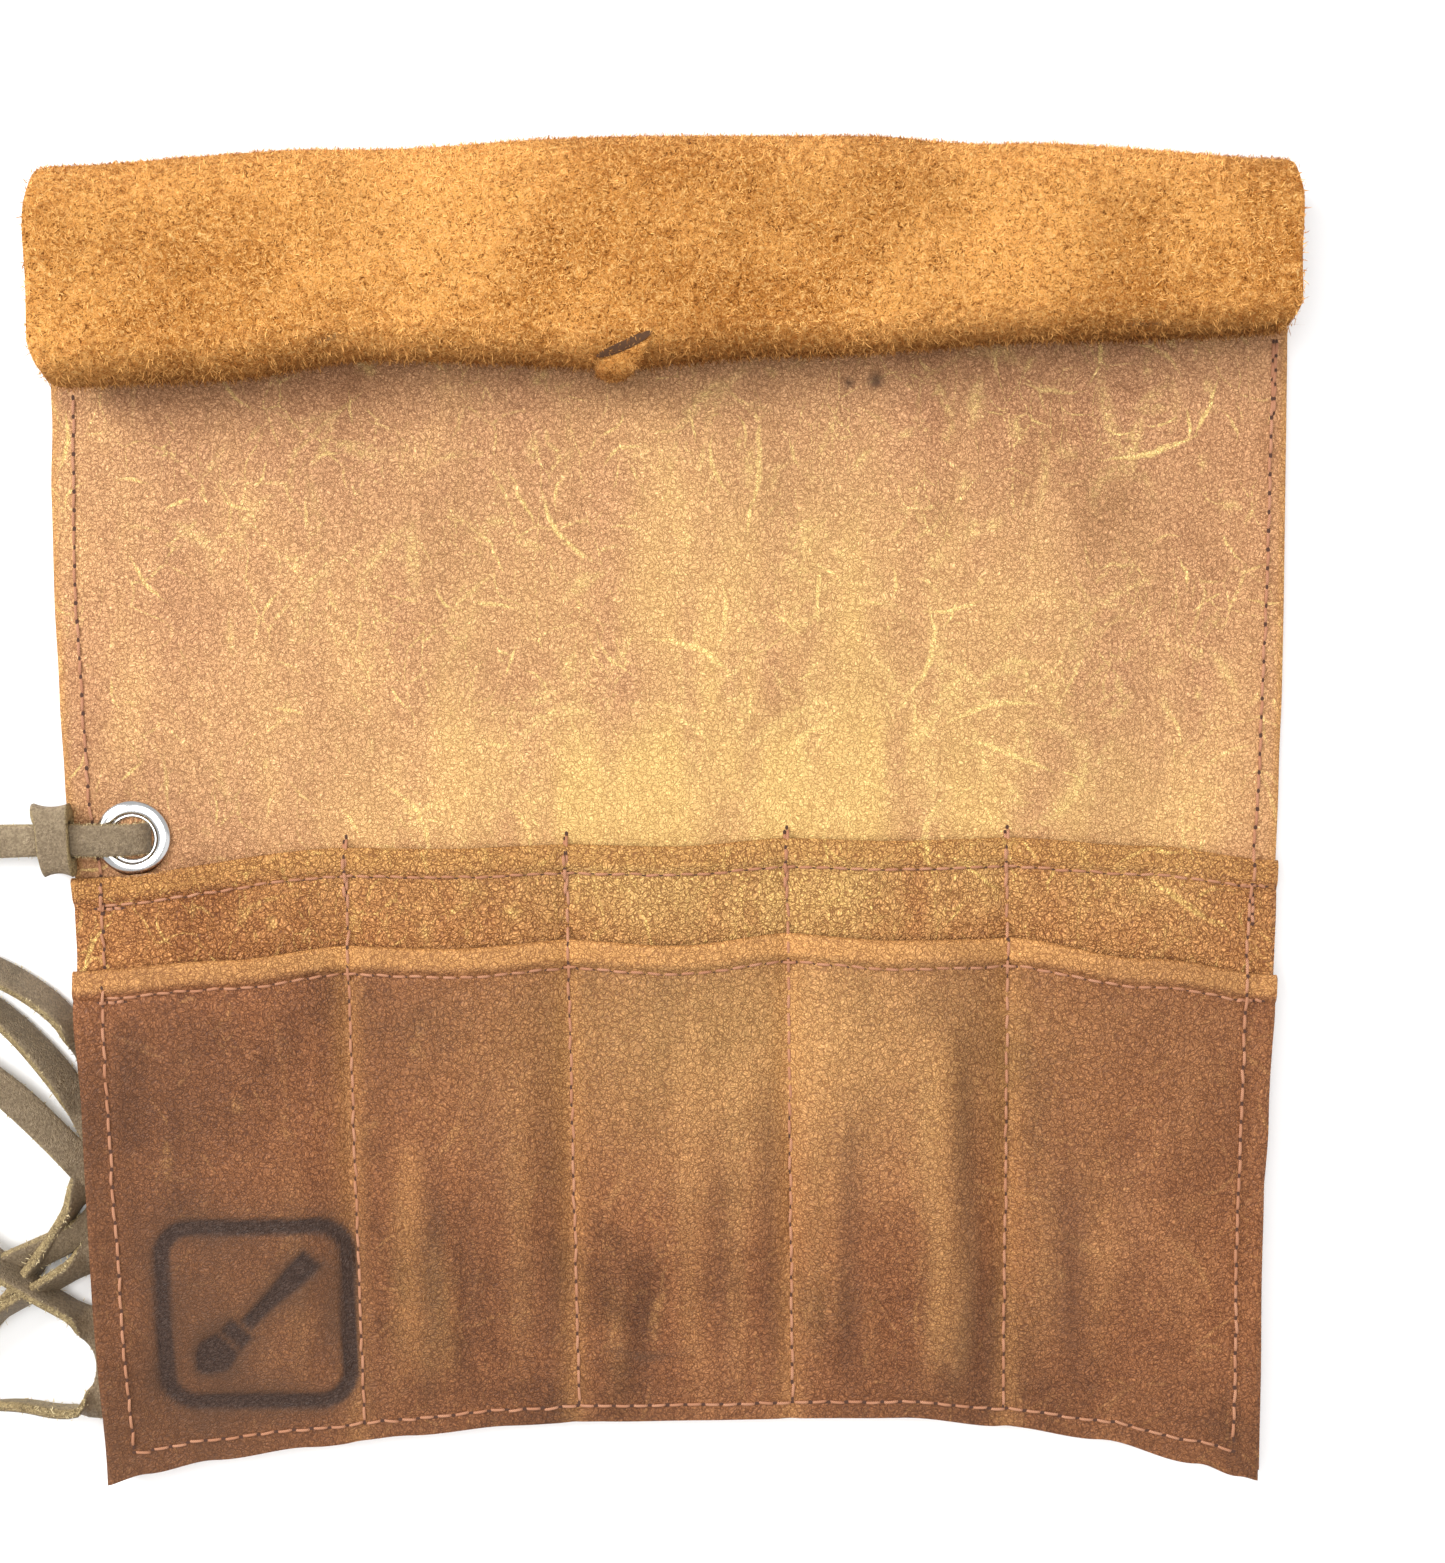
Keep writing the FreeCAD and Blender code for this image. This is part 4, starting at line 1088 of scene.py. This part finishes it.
def stitch_row(line, height_of, seed, radius=0.46, facing=1.0, skip=None):
    """Thread between each two needle holes: a short bent tube, sunk at both ends."""
    draw = np.random.default_rng(seed)
    holes = np.column_stack([line, height_of(line[:, 0], line[:, 1])])
    ends = np.stack([holes[:-1], holes[1:]], axis=1)
    if skip is not None:
        ends = ends[~skip(ends.mean(axis=1))]
    count = len(ends)
    along = ends[:, 1] - ends[:, 0]
    length = np.linalg.norm(along, axis=1, keepdims=True)
    along = along / length
    flat_side = np.cross(along, np.array([0, 0, 1.0]))
    flat_side /= np.linalg.norm(flat_side, axis=1, keepdims=True)
    up = np.cross(flat_side, along) * facing
    shift = draw.normal(0, 0.10, (count, 1, 1))
    skew = draw.normal(0, 0.13, (count, 1, 1))
    stations = np.array([0.07, 0.14, 0.30, 0.50, 0.70, 0.86, 0.93])
    heights = np.array([-0.45, 0.05, 0.24, 0.28, 0.24, 0.05, -0.45])
    thick = np.array([0.6, 0.92, 1.0, 1.03, 1.0, 0.92, 0.6]) * radius
    angles = np.arange(7) * 2 * math.pi / 7
    centre = (ends[:, :1] + along[:, None] * length[:, None] * stations[None, :, None]
              + up[:, None] * heights[None, :, None]
              + flat_side[:, None] * (shift + skew * (stations[None, :, None] - 0.5) * 2))
    ring = (flat_side[:, None, None] * np.cos(angles)[None, None, :, None]
            + up[:, None, None] * 0.85 * np.sin(angles)[None, None, :, None])
    points = centre[:, :, None] + ring * thick[None, :, None, None]
    faces = []
    for first in range(0, 49 * count, 49):
        faces += grid_quads(7, 7, first, closed=True).tolist()
        faces += [list(range(first + 6, first - 1, -1)), list(range(first + 42, first + 49))]
    return points.reshape(-1, 3), faces


def needle_holes(line, height_of, seed, skip=None):
    """Painted shade at the needle holes: flat dark eight-sided lenses on the surface, longer along the seam.
    """
    draw = np.random.default_rng(seed)
    spots = np.column_stack([line, height_of(line[:, 0], line[:, 1])])
    if skip is not None:
        spots = spots[~skip(spots)]
    count = len(spots)
    step = np.gradient(line, axis=0)[:1] if len(line) > 1 else np.array([[0, 1.0]])
    heading = math.atan2(step[0, 1], step[0, 0])
    angles = np.arange(8) * math.pi / 4
    size_a = draw.uniform(0.55, 0.80, (count, 1))
    size_b = draw.uniform(0.34, 0.50, (count, 1))
    dx = size_a * np.cos(angles) * math.cos(heading) - size_b * np.sin(angles) * math.sin(heading)
    dy = size_a * np.cos(angles) * math.sin(heading) + size_b * np.sin(angles) * math.cos(heading)
    ring = xyz(spots[:, :1] + dx, spots[:, 1:2] + dy, spots[:, 2:] + 0 * dx + 0.03)
    above = spots[:, None] + np.array([0, 0, 0.10])
    below = spots[:, None] - np.array([0, 0, 0.40])
    points = np.concatenate([ring, above, below], axis=1).reshape(-1, 3)
    faces = []
    for k in range(count):
        for c in range(8):
            a, b = k * 10 + c, k * 10 + (c + 1) % 8
            faces.append([a, b, k * 10 + 8])
            faces.append([b, a, k * 10 + 9])
    return points, faces


def merged(parts_list):
    """Several point and face lists as one."""
    points, faces, first = [], [], 0
    for some_points, some_faces in parts_list:
        points.append(some_points)
        faces += [[i + first for i in face] for face in some_faces]
        first += len(some_points)
    return np.concatenate(points), faces


def seam(name, node_name, rows, skip=None, under_rows=()):
    """One seam: its stitches as one piece and the painted shade of its needle holes as another."""
    tubes = [stitch_row(line, stack_top, seed, radius * 0.84, 1.0, skip) for line, seed, radius in rows]
    tubes += [stitch_row(line, cover_face, seed, 0.36, -1.0) for line, seed in under_rows]
    sewn = piece(name, *merged(tubes), THREAD)
    holes = piece(name + "_holes", *merged([needle_holes(line, stack_top, seed + 500, skip)
                                            for line, seed, _ in rows]), NEEDLE_HOLE_SHADE)
    settle(sewn, "thread", node_name)
    settle(holes, "thread")


def cover_face(x, y):
    """Underside of the outside leather, where the seams come through."""
    return lie(x, y) + 0.42


def make_seams():
    """All nine seams, with doubled stitches where they start."""
    def at_eyelet(spots):
        """Where the left seam passes under the eyelet."""
        return np.hypot(spots[:, 0] - EYELET[0], spots[:, 1] - EYELET[1]) < 9.6
    left = [(left_edge(y) + inset, y) for y, inset in
            ((106, 5.4), (60, 5.2), (8, 5.6), (-12, 6.6), (-40, 6.4), (-100, 6.2), (-153.4, 6.4))]
    right = [(right_edge(y) - inset, y) for y, inset in
             ((117, 3.4), (60, 4.2), (5, 5.0), (-17, 6.3), (-44, 6.6), (-100, 6.0), (-154.0, 5.8))]
    left_line, right_line = walk(left, STITCH), walk(right, STITCH)
    tack_left = walk([left[3], (left[3][0] + 0.1, -19.0)], 2.6) + np.array([0.45, 0.0])
    seam("left_seam_stitches", "left_seam_thread",
         [(left_line, 101, 0.46), (tack_left, 102, 0.5)], at_eyelet, [(left_line, 103)])
    tack_right = walk([(right[0][0], 117), (right[0][0] - 0.4, 100)], 3.6) + np.array([0.7, 0.0])
    knot_right = walk([right[3], (right[3][0], -24.0)], 2.4) + np.array([0.5, 0.0])
    seam("right_seam_stitches", "right_seam_thread",
         [(right_line, 104, 0.46), (tack_right, 105, 0.46), (knot_right, 106, 0.5)], None,
         [(right_line, 107)])
    xs = np.linspace(left_edge(-154.0) + 6.4, right_edge(-154.0) - 5.8, 40)
    low_line = walk([(x, float(bottom_edge(x)) + 4.2 + 2.6 * abs(x / HALF) ** 3) for x in xs], STITCH)
    seam("bottom_seam_stitches", "bottom_seam_thread", [(low_line, 108, 0.44)], None,
         [(low_line, 109)])
    for name, hem_of, seed in (("back_hem", back_hem, 110), ("front_hem", front_hem, 112)):
        y_end = float(hem_of(-HALF)) - HEM_INSET
        xs = np.linspace(float(left_edge(y_end)) + 6.8, float(right_edge(y_end)) - 5.2, 60)
        line = walk([(x, float(hem_of(x)) - HEM_INSET) for x in xs], 4.15)
        knot = walk([(xs[-1] - 4.0, line[-1, 1] + 0.7), (xs[-1] + 2.6, line[-1, 1] + 0.4)], 2.2)
        start = walk([(xs[0] - 1.5, line[0, 1] - 0.9), (xs[0] + 5.0, line[0, 1] - 0.7)], 2.2)
        seam(name + "_stitches", name + "_thread",
             [(line, seed, 0.42), (knot, seed + 1, 0.5), (start, seed + 20, 0.5)])
    tops = (-1.0, -2.2, 0.6, 0.8)
    for k, (x, top) in enumerate(zip(DIVIDERS, tops)):
        start = float(back_hem(x)) + 2.4
        lean = (1.5, 1.3, 0.6, -0.8)[k]
        line = walk([(x, start), (x + lean * 0.4, -60), (x + lean, float(bottom_edge(x)) + 5.0)],
                    STITCH)
        tack = walk([(x - 0.5, start - 1.2), (x - 0.35, start - 15)], 3.1)
        seam(f"divider_stitches_{k + 1}", f"divider_thread_{k + 1}",
             [(line, 120 + k, 0.44), (tack, 140 + k, 0.52)])


# ---------------------------------------------------------------- eyelet

def turned_piece(name, profile, centre, material, around=128):
    """A closed profile of (radius, height) carried round a vertical axis."""
    radius, height = np.array(profile, float).T
    angles = np.linspace(0, 2 * math.pi, around, endpoint=False)[:, None]
    points = xyz(centre[0] + radius * np.cos(angles), centre[1] + radius * np.sin(angles),
                 height + 0 * angles)
    return piece(name, points.reshape(-1, 3), grid_quads(around, len(radius), around=True, closed=True),
                 material)


def rounded(points, steps=4):
    """A closed outline with each corner eased twice or more by cutting it a quarter in."""
    points = np.array(points, float)
    for _ in range(steps):
        after = np.roll(points, -1, axis=0)
        points = np.stack([0.75 * points + 0.25 * after, 0.25 * points + 0.75 * after],
                          axis=1).reshape(-1, 2)
    return points


def make_eyelet():
    """Eyelet with a domed rim, a step inside it and a rolled barrel; the washer keeps its CAD shape."""
    rim = (RING_HIGH[0] - RING_LOW[0]) / 2
    bore, top = 5.0, PANEL_TOP
    outline = [(rim, top - 0.05), (rim, top + 0.30), (rim - 0.7, top + 0.85), (rim - 1.6, top + 1.12),
               (rim - 2.6, top + 1.12), (bore + 1.15, top + 0.86), (bore + 0.95, top + 0.55),
               (bore + 0.55, top + 0.62), (bore + 0.18, top + 0.45), (bore, top - 0.2),
               (bore - 0.05, top - 2.0), (bore, RING_LOW[2]), (bore + 0.35, RING_LOW[2]),
               (bore + 0.35, top - 1.6), (bore + 0.6, top - 0.05)]
    ring = turned_piece("eyelet_rim", rounded(outline, 3), EYELET, NICKEL)
    settle(ring, "nickel", "eyelet_ring")
    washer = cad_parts["eyelet_washer"]
    washer.data.materials.clear()
    washer.data.materials.append(NICKEL)


# ---------------------------------------------------------------- lace

LACE_WIDE = 8.0
LACE_THICK = 2.6
LACE_SIDES = 20


def lace_section():
    """Points round the lace: a flat band with rounded cut edges, and 1 where the cut shows."""
    angles = np.arange(LACE_SIDES) * 2 * math.pi / LACE_SIDES
    c, s = np.cos(angles), np.sin(angles)
    across_w = np.sign(c) * np.abs(c) ** 0.28 * LACE_WIDE / 2
    across_t = np.sign(s) * np.abs(s) ** 0.5 * LACE_THICK / 2
    raw = np.clip((np.abs(c) - 0.90) / 0.06, 0, 1) + (s < -0.3)
    return across_w, across_t, np.clip(raw, 0, 1)


def lace_band(name, path, twist, taper=1.0, seed=0):
    """The lace's section carried along a path, turned about it by twist; returns the piece and its frame."""
    along = np.gradient(path, axis=0)
    along /= np.linalg.norm(along, axis=1, keepdims=True)
    side = np.cross(along, np.array([0, 0, 1.0]))
    flat = np.linalg.norm(side, axis=1, keepdims=True)
    side = np.where(flat > 0.05, side / np.maximum(flat, 1e-6), np.array([0, 1.0, 0]))
    up = np.cross(side, along)
    turn = twist[:, None]
    wide = side * np.cos(turn) + up * np.sin(turn)
    thick = -side * np.sin(turn) + up * np.cos(turn)
    across_w, across_t, raw = lace_section()
    rows = len(path)
    size = taper * np.ones((rows, 1))
    fray = 1 + 0.035 * soft_noise(np.arange(rows) * 1.0, np.full(rows, seed), 5, 3, 90)[:, None]
    points = (path[:, None] + wide[:, None] * (across_w * size * fray)[..., None]
              + thick[:, None] * (across_t * size)[..., None])
    last = (rows - 1) * LACE_SIDES
    caps = [list(range(LACE_SIDES)), list(range(last, last + LACE_SIDES))]
    band = piece(name, points.reshape(-1, 3), grid_quads(rows, LACE_SIDES, closed=True).tolist() + caps,
                 LACE_LEATHER, attributes={"suede": np.ones((rows, 1)) * raw})
    return band, (path, along, wide, thick)


def lace_fuzz(name, shape, count, seed):
    """Short fibres that stand off both cut edges and the flesh side of the lace."""
    path, along, wide, thick = shape
    draw = np.random.default_rng(seed)
    at = draw.integers(1, len(path) - 1, count)
    edge = np.where(draw.random(count) < 0.5, -1.0, 1.0)
    level = draw.uniform(-0.5, 0.5, count)
    jitter = draw.uniform(-0.5, 0.5, count)
    step = np.linalg.norm(path[1] - path[0])
    roots = (path[at] + along[at] * (jitter * step)[:, None]
             + wide[at] * (edge * LACE_WIDE * 0.485)[:, None]
             + thick[at] * (level * LACE_THICK)[:, None])
    out = wide[at] * edge[:, None]
    return fibre_tufts(name, LACE_FIBRE, roots, along[at], thick[at], out, 0.5, 1.5, (0.1, 0.7), seed)


def spline_points(route):
    """Points along the smooth line of the lace's route, as Blender's own spline gives them."""
    curve = bpy.data.curves.new("lace_route", "CURVE")
    curve.dimensions = "3D"
    curve.resolution_u = 12
    spline = curve.splines.new("NURBS")
    spline.points.add(len(route) - 1)
    for point, spot in zip(spline.points, route):
        point.co = (spot[0] * MM, spot[1] * MM, spot[2] * MM, 1.0)
    spline.order_u = 3
    spline.use_endpoint_u = True
    holder = bpy.data.objects.new("lace_route", curve)
    bpy.context.scene.collection.objects.link(holder)
    bpy.context.view_layer.update()
    mesh = bpy.data.meshes.new_from_object(holder)
    spots = np.array([tuple(v.co) for v in mesh.vertices]) / MM
    bpy.data.objects.remove(holder)
    bpy.data.meshes.remove(mesh)
    return spots


def evenly(points, pitch):
    """The same line with points every pitch."""
    lengths = np.linalg.norm(np.diff(points, axis=0), axis=1)
    travelled = np.concatenate([[0], np.cumsum(lengths)])
    at = np.linspace(0, travelled[-1], int(travelled[-1] / pitch) + 1)
    return np.stack([np.interp(at, travelled, points[:, k]) for k in range(3)], axis=-1), travelled[-1]


# The same route as the lace's plain tube, in metres.
LACE_ROUTE = [
    (-0.1473, -0.0008, 0.0063),
    (-0.1760, -0.0008, 0.0063),
    (-0.1990, -0.0045, 0.0042),
    (-0.2190, -0.0145, 0.0032),
    (-0.2320, -0.0320, 0.0030),
    (-0.2376, -0.0549, 0.0030),
]


def coil_points():
    """Loose turns drawn through set places by the case's edge and round the far side between them."""
    turns = [
        [(-226, -46), (-206, -29), (-186, -27), (-168, -33), (-154, -42), (-146, -53), (-142.6, -66),
         (-144.2, -79), (-150.5, -92), (-160, -107), (-172, -122), (-190, -136), (-212, -140),
         (-231, -131), (-243, -113), (-246, -92)],
        [(-243, -70), (-231, -49), (-212, -37), (-193, -34), (-178, -37), (-167, -44), (-156, -56),
         (-148, -68), (-143.4, -80), (-142.4, -90), (-146, -98.5), (-158, -103.5), (-172, -109.5),
         (-190, -121), (-208, -129), (-226, -127), (-239, -115), (-245, -97)],
        [(-244, -77), (-234, -58), (-217, -46), (-199, -44), (-183, -51), (-167, -62), (-153, -77),
         (-144.4, -88), (-142.6, -97), (-146.5, -106), (-157, -112), (-170, -119), (-187, -131),
         (-207, -139), (-227, -136), (-241, -122), (-248, -103)],
        [(-247, -83), (-239, -66), (-223, -60), (-206, -68), (-191, -84), (-176, -101), (-162, -112),
         (-151, -120), (-144, -127), (-142.6, -135), (-145, -143), (-153, -145.6), (-166, -141.5),
         (-180, -143), (-197, -148), (-216, -147), (-233, -138), (-243, -124), (-246, -106),
         (-241, -88), (-229, -76), (-213, -73)],
    ]
    x, y = np.array([place for turn in turns for place in turn], float).T
    k = np.arange(len(x))
    share = k / len(x)
    tucked = ease((x + 156) / 9)
    loose = 2.4 + 7.2 * share + 0.7 * np.sin(k * 1.7)
    return xyz(x, y, loose * (1 - tucked) + tucked * (1.5 + 2.5 * share))


def make_lace():
    """Free lace from the case's edge to its bare end, with its fibres."""
    route = [(x / MM, y / MM, z / MM) for x, y, z in LACE_ROUTE] + coil_points().tolist()
    path, length = evenly(spline_points(route), 2.0)
    share = np.linspace(0, 1, len(path))
    flat = ease((path[:, 0] + 152) / 6) * ease((share - 0.08) / 0.02)
    wave = 0.74 + 0.42 * np.sin(share * 37 + 1.0)
    twist = (0.12 + 1.15 * ease((share - 0.05) / 0.05) * wave) * (1 - flat)
    needed = LACE_WIDE / 2 * np.sin(twist) + LACE_THICK / 2 * np.cos(twist) + 0.15
    path[:, 2] = np.where(share > 0.06, np.maximum(path[:, 2], needed), path[:, 2])
    lace, shape = lace_band("free_lace", path, twist, seed=3)
    fuzz = lace_fuzz("free_lace_fibres", shape, 9000, 301)
    settle(lace, "lace_leather", "lace_run", "lace_coil")
    settle(fuzz, "lace_leather")
    print(f"lace length {length:.0f} mm")


def make_lace_loop():
    """The lace's end: up through the eyelet, over its rim and flat to the case's edge."""
    x0, y0 = EYELET[0], EYELET[1]
    bends = [(x0 + 3.3, 1.4), (x0 + 3.5, 3.2), (x0 + 3.3, 4.9), (x0 + 2.2, 6.1), (x0 - 0.5, 6.5),
             (x0 - 6.0, 6.5), (-HALF, 6.35), (-HALF - 1.0, 6.3)]
    route = [(x, y0 + 0.2 * math.sin(x), z) for x, z in bends]
    path, _ = evenly(spline_points(route), 0.8)
    taper = 0.93 + 0.07 * ease((x0 - path[:, :1]) / 8)
    loop, shape = lace_band("lace_in_eyelet", path, np.zeros(len(path)), taper, seed=5)
    fuzz = lace_fuzz("lace_in_eyelet_fibres", shape, 260, 302)
    settle(loop, "lace_leather", "lace_loop")
    settle(fuzz, "lace_leather")


def make_keeper():
    """Band of lace round the lace: a flat ring whose edges bow, wider above than below."""
    middle, size = (KEEPER_LOW + KEEPER_HIGH) / 2, KEEPER_HIGH - KEEPER_LOW
    around, along = 72, 22
    angle = np.linspace(0, 2 * math.pi, around, endpoint=False)[:, None]
    c, s = np.cos(angle), np.sin(angle)
    u = np.linspace(-1, 1, along)[None, :]
    x = middle[0] - 0.9 * c + size[0] / 2 * (1.0 + 0.12 * c - 0.10 * np.abs(s)) * u * 0.97

    def wall(power_y, power_z, half_y, half_z, places, swell_y, swell_z):
        """One face of the band: a rounded box carried along the lace."""
        y = np.sign(c) * np.abs(c) ** power_y * half_y * swell_y
        z = np.sign(s) * np.abs(s) ** power_z * half_z * swell_z
        return xyz(places, middle[1] + y, middle[2] + z)

    def lip(first, last, push):
        """Rounded end between two faces: half a circle, pushed out along the lace."""
        half = (first + last) / 2
        turns = np.linspace(0, math.pi, 7)[1:-1]
        return np.stack([half + (first - half) * math.cos(t) + np.array([push, 0, 0]) * math.sin(t)
                         for t in turns], axis=1)

    flare, waist = 1 + 0.05 * u * u, 1 - 0.05 * (1 - u * u)
    outside = wall(0.55, 0.62, size[1] / 2, size[2] / 2, x, flare * waist, flare)
    inside = wall(0.40, 0.55, LACE_WIDE / 2 + 0.45, LACE_THICK / 2 + 0.4, x[:, ::-1], 1 + 0 * u, 1 + 0 * u)
    loop = np.concatenate([outside, lip(outside[:, -1], inside[:, 0], 0.55), inside,
                           lip(inside[:, -1], outside[:, 0], -0.55)], axis=1)
    raw = np.zeros(loop.shape[:2])
    raw[:, along:along + 5] = 1.0
    raw[:, -5:] = 1.0
    band = piece("keeper_band", loop.reshape(-1, 3), grid_quads(*raw.shape, around=True, closed=True),
                 LACE_LEATHER, attributes={"suede": raw})
    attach(band, "keeper")
    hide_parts("lace_keeper")


make_seams()
make_eyelet()
make_keeper()
make_lace_loop()
make_lace()


# ---------------------------------------------------------------- floor, light and camera

def make_stage():
    """Plain pale floor and large soft lights."""
    side = 6000
    floor = piece("floor", [(-side, -side, -0.3), (side, -side, -0.3), (side, side, -0.3),
                            (-side, side, -0.3)], [[0, 1, 2, 3]], mends=False)
    material, nodes = new_material("pale_floor")
    shade = nodes.blend(nodes.noise(3.0, 2.0), (0.93, 0.93, 0.93, 1), (0.96, 0.96, 0.96, 1))
    nodes.finish(Base_Color=shade, Roughness=0.8, Specular_IOR_Level=0.1)
    floor.data.materials.append(material)

    world = bpy.data.worlds.new("studio")
    bpy.context.scene.world = world
    world.use_nodes = True
    sky = world.node_tree.nodes["Background"].inputs
    sky["Color"].default_value = (1, 1, 1, 1)
    sky["Strength"].default_value = 0.55

    lamps = [
        ("window_side", (-1.5, 0.9, 1.2), 1.0, 40.0),
        ("overhead", (-0.1, 0.2, 1.8), 1.5, 24.0),
        ("fill_side", (1.3, -0.7, 1.2), 1.6, 3.0),
    ]
    for name, place, width, power in lamps:
        light = bpy.data.lights.new(name, "AREA")
        light.size = width
        light.energy = power
        lamp = bpy.data.objects.new(name, light)
        bpy.context.scene.collection.objects.link(lamp)
        lamp.location = place
        lamp.rotation_euler = lamp.location.to_track_quat("Z", "Y").to_euler()


def make_camera():
    """Camera almost straight above, a little towards the flap, looking down on the case."""
    tilt, roll = math.radians(5.5), math.radians(0.48)
    data = bpy.data.cameras.new("camera")
    data.sensor_fit = "VERTICAL"
    data.sensor_height = 24.0
    data.lens = 33.651
    data.clip_start = 0.01
    camera = bpy.data.objects.new("camera", data)
    bpy.context.scene.collection.objects.link(camera)
    camera.matrix_world = (Matrix.Translation((0.01136, 0.0116, 0)) @ Matrix.Rotation(-tilt, 4, "X")
                           @ Matrix.Rotation(-roll, 4, "Z") @ Matrix.Translation((0, 0, 0.540)))
    bpy.context.scene.camera = camera
    bpy.context.scene.view_settings.view_transform = "Standard"


make_stage()
make_camera()
